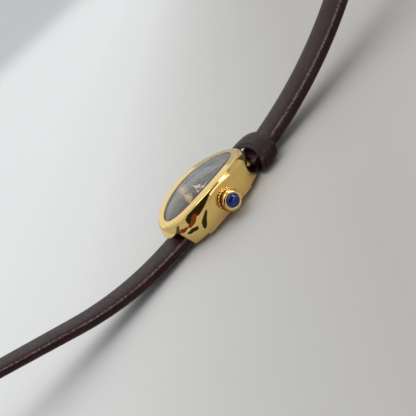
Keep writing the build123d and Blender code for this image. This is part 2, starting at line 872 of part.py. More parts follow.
def crown_ring_outline():
    """Outline of the crown's gripping ring, with a flute between every two beads."""
    points = []
    for flute in range(crown_flute_count):
        middle = flute * 360 / crown_flute_count
        step = 360 / crown_flute_count / 4
        points.append(polar(crown_base_radius - crown_flute_depth, middle - 2 * step))
        points.append(polar(crown_base_radius, middle - step))
        points.append(polar(crown_base_radius, middle + step))
    return make_face(Polyline(*points, close=True))


def crown_front():
    """Distance of the crown's front rim from the centre."""
    return crown_base_reach + crown_base_length + crown_neck_length + crown_front_length


def cabochon_shape():
    """Polished domed stone in the crown."""
    rim = crown_front()
    base = rim - cabochon_seat_depth
    crest = rim + cabochon_height
    radius = (cabochon_radius ** 2 + cabochon_height ** 2) / (2 * cabochon_height)
    middle = math.asin(cabochon_radius / radius) / 2
    shoulder = (crest - radius + radius * math.cos(middle), radius * math.sin(middle))
    section = make_face(Line((base, 0), (base, cabochon_radius))
                        + Line((base, cabochon_radius), (rim, cabochon_radius))
                        + ThreePointArc((rim, cabochon_radius), shoulder, (crest, 0))
                        + Line((crest, 0), (base, 0)))
    return Pos(0, 0, crown_height) * revolve(Plane.XZ * section, Axis.X)


def crown_gasket_shape():
    """Seal inside the crown that runs on the tube."""
    start = crown_base_reach + pin_gap
    ring = along_x(crown_recess_radius, start, start + crown_gasket_length)
    return ring - along_x(tube_radius + pivot_gap, start, start + crown_gasket_length)


def crown_tube_shape():
    """Tube pressed into the band for the stem."""
    tube = along_x(tube_radius, tube_inner_reach, tube_outer_reach)
    return tube - along_x(tube_bore_radius, tube_inner_reach, tube_outer_reach)


def stem_shape():
    """Winding stem with a groove for the setting lever."""
    body = along_x(stem_radius, stem_inner_reach, crown_base_reach + crown_recess_depth + stem_seat_depth)
    groove_end = stem_groove_reach + stem_groove_length
    groove = along_x(stem_radius + pin_gap, stem_groove_reach, groove_end)
    groove = groove - along_x(stem_groove_radius, stem_groove_reach, groove_end)
    return body - groove


def setting_lever_shape():
    """Forked lever in the stem's groove, which moves with the crown as it is pulled."""
    start = stem_groove_reach + (stem_groove_length - lever_thickness) / 2
    fork = block(start, start + lever_thickness, -lever_half_width, lever_half_width,
                 lever_low_height, lever_high_height)
    slot = block(start, start + lever_thickness, -lever_slot_half_width, lever_slot_half_width,
                 crown_height, lever_high_height)
    return fork - slot - along_x(lever_slot_half_width, start, start + lever_thickness)


# Strap
def path_station(distance, pieces, start_slope):
    """Reach from the bar, rise and slope of a strap's middle line at a distance along it."""
    reach, rise, slope = 0.0, 0.0, math.radians(start_slope)
    for length, radius in pieces:
        run = min(max(distance, 0.0), length)
        if radius == 0:
            reach += run * math.cos(slope)
            rise += run * math.sin(slope)
        else:
            turn = run / radius
            reach += radius * (math.sin(slope + turn) - math.sin(slope))
            rise += radius * (math.cos(slope) - math.cos(slope + turn))
            slope += turn
        distance -= run
    return reach, rise, slope


def upper_path():
    """Runs and arcs of the upper strap's middle line: length and radius, 0 for straight."""
    curve = upper_curve_radius * math.radians(upper_curve_slope - upper_start_slope)
    rest = upper_strap_length - upper_straight_length - curve
    return_radius = rest / math.radians(upper_curve_slope - upper_end_slope)
    return [(upper_straight_length, 0), (curve, upper_curve_radius), (rest, -return_radius)]


def lower_path():
    """Runs and arcs of the lower strap's middle line: length and radius, 0 for straight."""
    curve = lower_curve_radius * math.radians(lower_curve_slope - lower_start_slope)
    rest = lower_strap_length - lower_straight_length - curve - lower_run_length
    return [(lower_straight_length, 0), (curve, lower_curve_radius), (lower_run_length, 0),
            (rest, -lower_return_radius)]


def upper_station(distance):
    """Middle line of the upper strap."""
    return path_station(distance, upper_path(), upper_start_slope)


def lower_station(distance):
    """Middle line of the lower strap."""
    return path_station(distance, lower_path(), lower_start_slope)


def strap_plane(station, distance, way):
    """Plane square to a strap's middle line, with its X across the strap."""
    reach, rise, slope = station(distance)
    origin = (0, way * (bar_reach + reach), bar_height - strap_start_drop + rise)
    normal = (0, way * math.cos(slope), math.sin(slope))
    return Plane(origin=origin, x_dir=(1, 0, 0), z_dir=normal)


def strap_width(share, end_width):
    """Width of a strap at a share of its length; it narrows less and less."""
    return end_width + (strap_root_width - end_width) * (1 - share) ** 2


def strap_thickness(distance, length, padded, end):
    """Thickness of a strap, which grows from its root to the padding and thins out to its end."""
    if distance < padding_length:
        return root_thickness + (padded - root_thickness) * distance / padding_length
    return end + (padded - end) * (1 - (distance - padding_length) / (length - padding_length)) ** 2


def strap_outline(width, thickness):
    """Cross-section of a strap, an oblong whose corners are rounded in two steps."""
    half_width = width / 2
    half_height = thickness / 2
    corner = thickness * strap_edge_share
    ease = corner * (1 - math.cos(math.pi / 4))
    quarter = [(half_width, half_height - corner), (half_width - ease, half_height - ease),
               (half_width - corner, half_height)]
    upper_half = quarter + [(-x, y) for x, y in reversed(quarter)]
    return make_face(Polyline(*upper_half, *[(-x, -y) for x, y in upper_half], close=True))


def strap_body(station, length, way, end_width, padded, end_thickness):
    """Leather band with rounded edges, lofted along the middle line."""
    sections = []
    for step in range(strap_stations + 1):
        share = step / strap_stations
        width = strap_width(share, end_width)
        thickness = strap_thickness(share * length, length, padded, end_thickness)
        sections.append(strap_plane(station, share * length, way) * strap_outline(width, thickness))
    return loft(sections, ruled=True)


def strap_root(way):
    """Roll of leather round the spring bar."""
    roll = Rot(0, 90, 0) * Cylinder(strap_roll_radius, strap_root_width)
    return Pos(0, way * bar_reach, bar_height) * roll


def root_bore(way):
    """Bore through the roll for the spring bar."""
    bore = Rot(0, 90, 0) * Cylinder(bar_radius + bar_strap_gap, strap_root_width + cut_overrun)
    return Pos(0, way * bar_reach, bar_height) * bore


def on_strap(station, distance, way):
    """Location on a strap: local Y runs out along it, local Z stands on its dial side."""
    reach, rise, slope = station(distance)
    origin = (0, way * (bar_reach + reach), bar_height - strap_start_drop + rise)
    normal = (0, -way * math.sin(slope), math.cos(slope))
    return Plane(origin=origin, x_dir=(way, 0, 0), z_dir=normal).location


def upper_strap_shape():
    """Twelve o'clock side, which carries the buckle."""
    body = strap_body(upper_station, upper_strap_length, 1, upper_end_width, upper_padded_thickness,
                      upper_end_thickness)
    body = body + strap_root(1)
    end = on_strap(upper_station, upper_strap_length, 1)
    roll = end * (Rot(0, 90, 0) * Cylinder(buckle_roll_radius, upper_end_width))
    body = body + roll
    body = body - end * (Rot(0, 90, 0) * Cylinder(buckle_bar_radius + bar_strap_gap,
                                                  upper_end_width + cut_overrun))
    half_slot = tongue_width / 2 + tongue_slot_gap
    slot = block(-half_slot, half_slot, -2 * buckle_roll_radius, 2 * buckle_roll_radius,
                 -2 * buckle_roll_radius, 2 * buckle_roll_radius)
    return body - end * slot - root_bore(1)


def lower_strap_shape():
    """Six o'clock side, with a rounded point and a row of holes."""
    body = strap_body(lower_station, lower_strap_length, -1, lower_end_width, lower_padded_thickness,
                      lower_end_thickness)
    body = body + strap_root(-1)
    end = on_strap(lower_station, lower_strap_length, -1)
    half = lower_end_width / 2
    reach = half + cut_overrun
    depth = tip_length + cut_overrun
    for side in (-1, 1):
        corner = make_face(Polyline((side * half, -tip_length), (side * reach, -tip_length),
                                    (side * reach, depth), (side * tip_half_width, depth),
                                    (side * tip_half_width, 0), close=True))
        body = body - end * extrude(corner, tip_length, both=True)
    for hole in range(hole_count):
        distance = lower_strap_length - first_hole_from_tip - (hole - 1) * hole_pitch
        place = on_strap(lower_station, distance, -1)
        body = body - place * Cylinder(hole_radius, 2 * root_thickness)
    return body - root_bore(-1)


def keeper_band(inner_width, inner_height, length):
    """Leather loop with rounded corners, open along local Y."""
    outer = RectangleRounded(inner_width + 2 * keeper_wall, inner_height + 2 * keeper_wall,
                             keeper_corner_radius)
    inner = RectangleRounded(inner_width, inner_height, keeper_corner_radius - keeper_wall)
    return extrude(Plane.XZ * (outer - inner), length / 2, both=True)


def loose_keeper_shape():
    """Keeper that slides on the upper strap, here pushed askew under the tip of the bezel."""
    tilt = math.radians(keeper_tilt)
    half_height = keeper_inner_height / 2 + keeper_wall
    lean = half_height * math.tan(math.radians(keeper_lean))
    far = keeper_length / 2 - lean
    near = keeper_length / 2 + lean
    side = make_face(Polyline((-near, -half_height), (far, -half_height), (near, half_height),
                              (-far, half_height), close=True))
    loop = keeper_band(keeper_inner_width, keeper_inner_height, 2 * near)
    loop = loop & extrude(Plane.YZ * side, keeper_inner_width, both=True)
    reach = case_half_length + keeper_case_gap + far * math.cos(tilt) - half_height * math.sin(tilt)
    height = keeper_rest_gap + far * math.sin(tilt) + half_height * math.cos(tilt)
    return Pos(0, reach, height) * (Rot(-keeper_tilt, 0, 0) * loop)


def fixed_keeper_shape():
    """Keeper sewn to the upper strap near the buckle."""
    distance = upper_strap_length - fixed_keeper_from_bar
    width = strap_width(distance / upper_strap_length, upper_end_width)
    thickness = strap_thickness(distance, upper_strap_length, upper_padded_thickness,
                                upper_end_thickness)
    lift = fixed_keeper_inner_height / 2 - thickness / 2 - keeper_floor_gap
    place = on_strap(upper_station, distance, 1)
    loop = keeper_band(width + 2 * keeper_floor_gap, fixed_keeper_inner_height, fixed_keeper_length)
    return place * (Pos(0, 0, lift) * loop)


# Buckle
def buckle_place():
    """Location of the buckle's bar at the end of the upper strap."""
    return on_strap(upper_station, upper_strap_length, 1)


def buckle_frame_shape():
    """Rounded frame whose two arms take the ends of the bar."""
    outer_width = buckle_inner_width + 2 * buckle_rail
    outline = Pos(0, buckle_length / 2 - buckle_bar_inset) * RectangleRounded(
        outer_width, buckle_length, buckle_corner_radius)
    gap_length = buckle_length - buckle_rail + cut_overrun
    gap = Pos(0, buckle_length - buckle_bar_inset - buckle_rail - gap_length / 2) * Rectangle(
        buckle_inner_width, gap_length)
    frame = extrude(outline - gap, buckle_thickness / 2, both=True)
    rims = frame.faces().filter_by(Axis.Z).edges()
    frame = chamfer(rims, buckle_edge_round)
    bore = Rot(0, 90, 0) * Cylinder(buckle_bar_radius + pin_gap, 2 * (buckle_inner_width / 2
                                                                      + buckle_rail / 2))
    return buckle_place() * (frame - bore)


def buckle_bar_shape():
    """Bar through the strap's roll into the two arms."""
    length = buckle_inner_width + buckle_rail - 2 * pin_gap
    return buckle_place() * (Rot(0, 90, 0) * Cylinder(buckle_bar_radius, length))


def buckle_tongue_shape():
    """Tongue with an eye round the bar, resting on the frame's front rail."""
    reach = buckle_length - buckle_bar_inset - buckle_rail / 4
    half = tongue_width / 2
    eye = Rot(0, 90, 0) * Cylinder(buckle_bar_radius + tongue_thickness, tongue_width)
    low = buckle_thickness / 2 + tongue_lift
    arm = block(-half, half, 0, reach, low, low + tongue_thickness)
    body = eye + arm
    return buckle_place() * (body - Rot(0, 90, 0) * Cylinder(buckle_bar_radius + bar_strap_gap,
                                                             tongue_width))


# Build and write every node
blank = case_blank()
save("bezel", bezel_shape(blank))
save("case_band", band_shape(blank))
save("crystal", crystal_shape())
save("crystal_gasket", crystal_gasket_shape())
save("case_back", case_back_shape())
save("back_gasket", back_gasket_shape())
save("case_back_screws", case_back_screw_shapes())
save("spring_bars", spring_bar_shapes())
save("dial", dial_shape())
hour_hand_angle = (shown_hour + shown_minute / minutes_per_hour) * hour_hand_step
save("hour_hand", turned(hand_shape(hour_hand_length, hour_hand_height, pipe_radius, hour_boss_radius),
                         hour_hand_angle))
save("minute_hand", turned(hand_shape(minute_hand_length, minute_hand_height, cannon_radius,
                                      minute_boss_radius), shown_minute * minute_hand_step))
save("centre_wheel", centre_wheel_shape())
save("cannon_pinion", cannon_pinion_shape())
save("minute_wheel", minute_wheel_shape())
save("hour_wheel", hour_wheel_shape())
save("third_wheel", third_wheel_shape())
save("intermediate_wheel", intermediate_wheel_shape())
save("rotor", rotor_shape())
save("dial_washer", washer_shape())
save("main_plate", main_plate_shape())
save("train_bridge", train_bridge_shape())
save("bridge_screws", bridge_screw_shapes())
save("movement_ring", movement_ring_shape())
save("battery", battery_shape())
save("battery_clamp", battery_clamp_shape())
save("coil", coil_shape())
save("coil_core", coil_core_shape())
save("stator", stator_shape())
save("circuit_board", circuit_board_shape())
save("quartz_can", quartz_can_shape())
save("crown", crown_shape())
save("crown_cabochon", cabochon_shape())
save("crown_gasket", crown_gasket_shape())
save("crown_tube", crown_tube_shape())
save("stem", stem_shape())
save("setting_lever", setting_lever_shape())
save("upper_strap", upper_strap_shape())
save("lower_strap", lower_strap_shape())
save("loose_keeper", loose_keeper_shape())
save("fixed_keeper", fixed_keeper_shape())
save("buckle_frame", buckle_frame_shape())
save("buckle_bar", buckle_bar_shape())
save("buckle_tongue", buckle_tongue_shape())
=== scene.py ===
import json
import math

import bmesh
import bpy
import numpy as np
from mathutils import Matrix, Vector


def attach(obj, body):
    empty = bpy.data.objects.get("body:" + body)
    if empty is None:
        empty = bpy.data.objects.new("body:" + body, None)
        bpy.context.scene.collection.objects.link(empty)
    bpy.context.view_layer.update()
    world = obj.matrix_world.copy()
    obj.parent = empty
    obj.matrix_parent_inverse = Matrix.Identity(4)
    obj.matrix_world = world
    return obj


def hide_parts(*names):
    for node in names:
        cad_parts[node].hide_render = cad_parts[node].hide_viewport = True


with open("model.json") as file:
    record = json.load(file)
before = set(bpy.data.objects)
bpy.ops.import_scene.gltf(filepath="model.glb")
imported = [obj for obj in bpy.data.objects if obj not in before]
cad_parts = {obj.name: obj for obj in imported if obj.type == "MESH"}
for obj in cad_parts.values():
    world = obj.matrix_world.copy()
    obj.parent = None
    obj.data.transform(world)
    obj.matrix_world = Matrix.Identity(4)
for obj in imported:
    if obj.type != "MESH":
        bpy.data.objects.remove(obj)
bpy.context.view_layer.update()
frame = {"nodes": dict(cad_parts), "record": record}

# Shapes are written in millimetres in the shared frame; the stage (floor, lamps, cards) in metres.
MM = 0.001

# ---------------------------------------------------------------- camera
AZIMUTH, ELEVATION, ROLL = 14.89, 19.9, 43.39
CAMERA_DISTANCE = 150.0
CAMERA_TARGET = Vector((0.0, 0.0, 3.9))
IMAGE_SIDE = 416
FOCAL_PIXELS = 750.0
TARGET_PIXEL = (207.12, 196.2)
SENSOR_WIDTH = 36.0
CLIP_START, CLIP_END = 0.005, 20.0


def make_camera():
    """Camera at the photograph's angle, fitted to the outlines of the case and the strap."""
    azimuth, elevation, roll = (math.radians(a) for a in (AZIMUTH, ELEVATION, ROLL))
    back = Vector((math.cos(elevation) * math.cos(azimuth),
                   -math.cos(elevation) * math.sin(azimuth), math.sin(elevation)))
    level = Vector((math.sin(azimuth), math.cos(azimuth), 0.0))
    rise = back.cross(level)
    right = math.cos(roll) * level - math.sin(roll) * rise
    up = math.sin(roll) * level + math.cos(roll) * rise
    data = bpy.data.cameras.new("camera")
    data.sensor_width = SENSOR_WIDTH
    data.lens = SENSOR_WIDTH * FOCAL_PIXELS / IMAGE_SIDE
    data.shift_x = (IMAGE_SIDE / 2 - TARGET_PIXEL[0]) / IMAGE_SIDE
    data.shift_y = (TARGET_PIXEL[1] - IMAGE_SIDE / 2) / IMAGE_SIDE
    data.clip_start, data.clip_end = CLIP_START, CLIP_END
    camera = bpy.data.objects.new("camera", data)
    place = (CAMERA_TARGET + CAMERA_DISTANCE * back) * MM
    turn = Matrix((right, up, back)).transposed().to_4x4()
    camera.matrix_world = Matrix.Translation(place) @ turn
    bpy.context.scene.collection.objects.link(camera)
    bpy.context.scene.camera = camera


# ---------------------------------------------------------------- materials
# Noise and cell scales are per metre, bump depths in metres.
NOISE_SPAN = (0.3, 0.7)  # holds nearly all the values of a noise


class Shader:
    """Small helper that builds one node material."""

    def __init__(self, name):
        self.material = bpy.data.materials.new(name)
        self.material.use_nodes = True
        self.tree = self.material.node_tree
        self.bsdf = self.tree.nodes["Principled BSDF"]
        self.coords = None

    def node(self, kind, **settings):
        """Add a node; each setting is one of its inputs or else a property."""
        made = self.tree.nodes.new(kind)
        for key, value in settings.items():
            if key in made.inputs:
                made.inputs[key].default_value = value
            else:
                setattr(made, key, value)
        return made

    def link(self, source, target):
        """Link an output to an input."""
        self.tree.links.new(source, target)

    def set(self, **values):
        """Set plain values on the surface shader."""
        for key, value in values.items():
            self.bsdf.inputs[key.replace("_", " ")].default_value = value

    def feed(self, **sources):
        """Link node outputs to the surface shader."""
        for key, source in sources.items():
            self.link(source, self.bsdf.inputs[key.replace("_", " ")])

    def place(self):
        """Coordinates in the object's own frame."""
        if self.coords is None:
            self.coords = self.node("ShaderNodeTexCoord")
        return self.coords.outputs["Object"]

    def noise(self, scale, detail=3.0, roughness=0.5, vector=None):
        """Fractal noise over the object, or over another vector."""
        made = self.node("ShaderNodeTexNoise", Scale=scale, Detail=detail, Roughness=roughness)
        self.link(self.place() if vector is None else vector, made.inputs["Vector"])
        return made.outputs["Fac"]

    def ramp(self, source, stops):
        """Colour from a value, through stops of place and colour."""
        made = self.node("ShaderNodeValToRGB")
        ramp = made.color_ramp
        while len(ramp.elements) < len(stops):
            ramp.elements.new(0.5)
        for element, (place, colour) in zip(ramp.elements, stops):
            element.position = place
            element.color = (*colour, 1.0)
        self.link(source, made.inputs["Fac"])
        return made.outputs["Color"]

    def mottle(self, source, light, dark, span=NOISE_SPAN):
        """Colour that drifts between a dark and a light tone."""
        return self.ramp(source, [(span[0], dark), (span[1], light)])

    def span(self, source, low, high, from_low=0.0, from_high=1.0):
        """Map a range of a value to another range."""
        made = self.node("ShaderNodeMapRange")
        for key, value in (("From Min", from_low), ("From Max", from_high),
                           ("To Min", low), ("To Max", high)):
            made.inputs[key].default_value = value
        self.link(source, made.inputs["Value"])
        return made.outputs["Result"]

    def bump(self, height, strength, distance, normal=None):
        """Normal that follows a height, on top of another normal if one is given."""
        made = self.node("ShaderNodeBump", Strength=strength, Distance=distance)
        self.link(height, made.inputs["Height"])
        if normal is not None:
            self.link(normal, made.inputs["Normal"])
        return made.outputs["Normal"]

    def split(self, vector):
        """Parts of a vector along X, Y and Z."""
        made = self.node("ShaderNodeSeparateXYZ")
        self.link(vector, made.inputs["Vector"])
        return made.outputs

    def math(self, operation, *sources):
        """Arithmetic on node outputs."""
        made = self.node("ShaderNodeMath", operation=operation)
        for source, target in zip(sources, made.inputs):
            self.link(source, target)
        return made.outputs["Value"]


METAL_BUMP_DEPTH = 2e-6


def metal(name, light, dark, roughness, wear, grain, bump=0.0):
    """Metal whose colour and polish vary a little over the surface."""
    s = Shader(name)
    s.set(Metallic=1.0)
    fine = s.noise(grain, 6.0)
    s.feed(Base_Color=s.mottle(s.noise(wear, 4.0), light, dark),
           Roughness=s.span(fine, *roughness, *NOISE_SPAN))
    if bump:
        s.feed(Normal=s.bump(fine, bump, METAL_BUMP_DEPTH))
    return s.material


LEATHER_LIGHT, LEATHER_DARK = (0.040, 0.0115, 0.013), (0.020, 0.0055, 0.0065)
TONE_SCALE, CREASE_SCALE, PORE_SCALE, HIGHLIGHT_SPECKLE_SCALE = 260.0, 1500.0, 2600.0, 1900.0
CREASE_DEPTH, PORE_DEPTH, PORE_STRENGTH = 5e-5, 2e-5, 0.35
# Painted highlight on turned edges: where it lies in the normal, and how its speckles break it up;
# the last scale above sets the speckles.
HIGHLIGHT_STARTS, HIGHLIGHT_ENDS = (0.50, 0.66), (0.80, 0.93)  # sideways part of the normal on a turned edge
HIGHLIGHT_PATCHES, HIGHLIGHT_LEAST = (0.42, 0.62), 0.06


def leather(name, painted_highlight, painted_shade_factor=1.0, crease=0.4, sheen=0.14):
    """Dark burgundy calf: fine pores, soft creases, waxed sheen, speckled painted highlight on
    turned edges.
    """
    s = Shader(name)
    # A factor below 1 darkens both tones as painted shade.
    light, dark = (tuple(painted_shade_factor * c for c in tone) for tone in (LEATHER_LIGHT, LEATHER_DARK))
    body = s.mottle(s.noise(TONE_SCALE, 5.0), light, dark)
    # Painted highlight: turned edges, broken into speckles, are mixed towards a pale colour.
    side = s.math("ABSOLUTE", s.split(s.node("ShaderNodeNewGeometry").outputs["Normal"])["X"])
    edge = s.math("MULTIPLY", s.span(side, 0.0, 1.0, *HIGHLIGHT_STARTS),
                  s.span(side, 1.0, 0.0, *HIGHLIGHT_ENDS))
    highlight_speckles = s.span(s.noise(HIGHLIGHT_SPECKLE_SCALE, 8.0, 0.75), HIGHLIGHT_LEAST, 1.0, *HIGHLIGHT_PATCHES)
    mix = s.node("ShaderNodeMix", data_type="RGBA")
    s.link(s.math("MULTIPLY", edge, highlight_speckles), mix.inputs["Factor"])
    s.link(body, mix.inputs["A"])
    mix.inputs["B"].default_value = (*painted_highlight, 1.0)
    cells = s.node("ShaderNodeTexVoronoi", Scale=PORE_SCALE)
    s.link(s.place(), cells.inputs["Vector"])
    pores = s.span(cells.outputs["Distance"], 0.0, 1.0, 0.0, 0.5)
    creases = s.noise(CREASE_SCALE, 6.0)
    creased = s.bump(creases, crease, CREASE_DEPTH)
    s.feed(Base_Color=mix.outputs["Result"],
           Normal=s.bump(pores, PORE_STRENGTH, PORE_DEPTH, creased),
           Roughness=s.span(creases, 0.3, 0.5, *NOISE_SPAN))
    s.set(Coat_Weight=sheen, Coat_Roughness=0.28, Specular_IOR_Level=0.1)
    return s.material


def glass(name):
    """Clear crystal with faint large smears."""
    s = Shader(name)
    s.set(Base_Color=(1.0, 1.0, 1.0, 1.0), Roughness=0.0, IOR=1.34, Transmission_Weight=1.0)
    s.feed(Roughness=s.span(s.noise(60.0, 2.0), 0.0, 0.012, 0.3, 0.8))
    return s.material


def plastic(name, light, dark, roughness):
    """Plastic, rubber or lacquer with a slightly uneven tone and shine."""
    s = Shader(name)
    s.feed(Base_Color=s.mottle(s.noise(500.0), light, dark),
           Roughness=s.span(s.noise(2500.0), *roughness))
    return s.material


def dial_paint(name):
    """Dark grey metal dial with fine rays from its centre."""
    s = Shader(name)
    across = s.split(s.place())
    join = s.node("ShaderNodeCombineXYZ")
    s.link(s.math("ARCTAN2", across["Y"], across["X"]), join.inputs["X"])
    rays = s.noise(55.0, 6.0, vector=join.outputs["Vector"])
    s.feed(Base_Color=s.mottle(rays, (0.06, 0.058, 0.052), (0.018, 0.018, 0.016)),
           Normal=s.bump(rays, 0.25, 1e-5))
    s.set(Metallic=0.5, Roughness=0.36)
    return s.material


def stone(name):
    """Polished deep blue stone with darker clouds."""
    s = Shader(name)
    s.feed(Base_Color=s.mottle(s.noise(900.0), (0.006, 0.02, 0.25), (0.003, 0.006, 0.075),
                               (0.36, 0.64)))
    s.set(Roughness=0.03, IOR=1.5)
    return s.material


# Metals: light tone, dark tone, range of roughness, scale of the tones, scale of the grain, bump.
GOLD = metal("polished_gold", (0.88, 0.63, 0.23), (0.84, 0.58, 0.19), (0.03, 0.07), 150, 1400)
# Painted shade: darker red-brown gold for the shaded gaps between the crown's beads.
GROOVE_SHADE = metal("crown_groove_painted_shade", (0.36, 0.10, 0.025), (0.22, 0.05, 0.012), (0.15, 0.3), 900, 4000)
BACK_GOLD = metal("satin_gold", (0.85, 0.58, 0.25), (0.76, 0.5, 0.2), (0.22, 0.34), 200, 3000, 0.3)
HAND_GOLD = metal("hand_gold", (0.92, 0.78, 0.5), (0.85, 0.68, 0.4), (0.12, 0.2), 500, 4000)
STEEL = metal("ground_steel", (0.62, 0.63, 0.65), (0.5, 0.5, 0.52), (0.2, 0.35), 300, 4000, 0.2)
BRASS = metal("ground_brass", (0.8, 0.6, 0.28), (0.68, 0.48, 0.2), (0.2, 0.35), 300, 4000, 0.2)
NICKEL = metal("plate_nickel", (0.75, 0.72, 0.67), (0.6, 0.58, 0.54), (0.25, 0.4), 300, 4000, 0.2)
COPPER = metal("copper_winding", (0.8, 0.38, 0.18), (0.6, 0.25, 0.1), (0.3, 0.45), 600, 5000, 0.5)
# The colour given to each leather is the pale painted highlight on its turned edges.
LEATHER = leather("strap_leather", (0.24, 0.20, 0.20))
# Keepers: the strap leather darkened to 0.6 as painted shade, with a dimmer painted highlight.
LOOP_LEATHER = leather("keeper_leather", (0.06, 0.03, 0.032), painted_shade_factor=0.6, crease=0.7, sheen=0.12)
GLASS = glass("crystal_glass")
STONE = stone("blue_stone")
DIAL = dial_paint("dial_grey")
RUBBER = plastic("black_rubber", (0.03, 0.03, 0.03), (0.015, 0.015, 0.015), (0.5, 0.7))
# Painted shade: the clear gasket is coloured dark olive, as it looks in shade.
GASKET_PAINTED_SHADE = plastic("clear_gasket", (0.12, 0.11, 0.07), (0.07, 0.065, 0.04), (0.3, 0.5))
WHITE = plastic("white_plastic", (0.8, 0.79, 0.76), (0.7, 0.69, 0.66), (0.4, 0.6))
GREEN = plastic("board_green", (0.05, 0.25, 0.12), (0.03, 0.17, 0.08), (0.25, 0.4))

BY_SLOT = {
    "polished_gold": GOLD, "case_back_gold": BACK_GOLD, "hand_gold": HAND_GOLD,
    "crystal_glass": GLASS, "blue_stone": STONE, "dial_grey": DIAL,
    "clear_gasket": GASKET_PAINTED_SHADE, "black_gasket": RUBBER, "strap_leather": LEATHER,
    "movement_steel": STEEL, "movement_brass": BRASS, "plate_nickel": NICKEL,
    "battery_steel": STEEL, "copper_winding": COPPER, "board_green": GREEN,
    "white_plastic": WHITE,
}


def dress_nodes():
    """Give every CAD node the material of its slot."""
    for row in frame["record"]["subparts"]:
        materials = frame["nodes"][row["node"]].data.materials
        materials.clear()
        materials.append(BY_SLOT[row["material_slot"]])


# ---------------------------------------------------------------- meshes
WELD = 1e-7


def mesh_object(name, points, faces, material, sharp=35.0):
    """New object from points in millimetres and faces, shaded smooth up to an angle."""
    mesh = bpy.data.meshes.new(name)
    mesh.from_pydata([tuple(c * MM for c in p) for p in points], [], faces)
    mesh.validate()
    fix = bmesh.new()
    fix.from_mesh(mesh)
    bmesh.ops.remove_doubles(fix, verts=fix.verts, dist=WELD)
    bmesh.ops.recalc_face_normals(fix, faces=fix.faces)
    fix.to_mesh(mesh)
    fix.free()
    mesh.polygons.foreach_set("use_smooth", [True] * len(mesh.polygons))
    mesh.set_sharp_from_angle(angle=math.radians(sharp))
    mesh.materials.append(material)
    made = bpy.data.objects.new(name, mesh)
    bpy.context.scene.collection.objects.link(made)
    return made


class Shell:
    """Collects closed lofts of rings into one mesh."""

    def __init__(self):
        self.points, self.faces = [], []

    def add(self, rings, closed_rows=False):
        """Loft rings of equal count; the rows close on themselves or end in caps."""
        count, rows, first = len(rings[0]), len(rings), len(self.points)
        for ring in rings:
            self.points.extend(ring)
        for r in range(rows if closed_rows else rows - 1):
            here, there = first + r * count, first + ((r + 1) % rows) * count
            for c in range(count):
                d = (c + 1) % count
                self.faces.append((here + c, here + d, there + d, there + c))
        if not closed_rows:
            self.faces.append(tuple(first + c for c in range(count))[::-1])
            self.faces.append(tuple(first + (rows - 1) * count + c for c in range(count)))
        return self

    def piece(self, name, body, nodes, material, slot, sharp):
        """Make the object, which rides on a body and takes the place of CAD nodes."""
        made = mesh_object(name, self.points, self.faces, material, sharp)
        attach(made, body)
        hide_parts(*nodes)
        return made


def turns(count, whole=2 * math.pi):
    """Angles spread evenly round a turn."""
    return [whole * k / count for k in range(count)]


def spread(low, high, count):
    """Values spread evenly from one to another, both included."""
    return [low + (high - low) * k / (count - 1) for k in range(count)]


# ---------------------------------------------------------------- case
AROUND = 288  # points round the oval
SETTLE = 6  # rounds in which a point on two surfaces settles

HALF_WIDTH, HALF_LENGTH = 9.45, 12.45
WIDEST, FLANK_INSET, BAND_LOW = 5.6, 1.15, 0.9
TOP_CREST, TOP_RADIUS = 7.85, 44.0
SEAM_CREST, SEAM_RADIUS = 7.15, 27.0

# Shoulder: each value beside the crown, and how much it grows towards the lugs
BEVEL_HEIGHT, BEVEL_HEIGHT_GROWTH = 1.7, 3.2
BEVEL_LEAN, BEVEL_LEAN_GROWTH = 0.13, 0.85
EDGE_HEIGHT, EDGE_HEIGHT_GROWTH = 0.48, 0.5
EDGE_DEPTH, EDGE_PULL_UP, EDGE_PULL_IN = 0.85, 0.5, 0.4  # shares of the edge's height
BEVEL_STEPS, EDGE_STEPS = 16, 12

SKIRT = (7.02, 9.52)
SKIRT_LOW = 5.53
SEAM_SHARES = (0.3, 0.6, 0.9, 0.985)
RIM_STEPS, RIM_POWER, TOP_STEPS = 25, 1.7, 12
LIP_RADIUS, LIP_ANGLES = 0.1, (30, 60, 90)
THROAT = (5.9, 8.9)

GLASS_SIZE = (6.4, 9.4)
GLASS_CREST, GLASS_THICK = 8.07, 0.95
GLASS_GAP, LEDGE_GAP = 0.03, 0.18
GASKET_WALL = 0.12


def arch(y, crest, radius):
    """Height of a cylinder that lies across the case."""
    return crest - radius + math.sqrt(radius ** 2 - y ** 2)


def flank(full, height):
    """Half size of the case's wall at a height."""
    drop = max(0.0, WIDEST - height) / (WIDEST - BAND_LOW)
    return full - FLANK_INSET * drop ** 2


def outward(angle):
    """Direction square to the case's oval."""
    return Vector((math.cos(angle) / HALF_WIDTH, math.sin(angle) / HALF_LENGTH, 0)).normalized()


def bezier(t, points):
    """Point on a cubic curve."""
    weights = ((1 - t) ** 3, 3 * t * (1 - t) ** 2, 3 * t * t * (1 - t), t ** 3)
    return tuple(sum(w * p[axis] for w, p in zip(weights, points)) for axis in (0, 1))


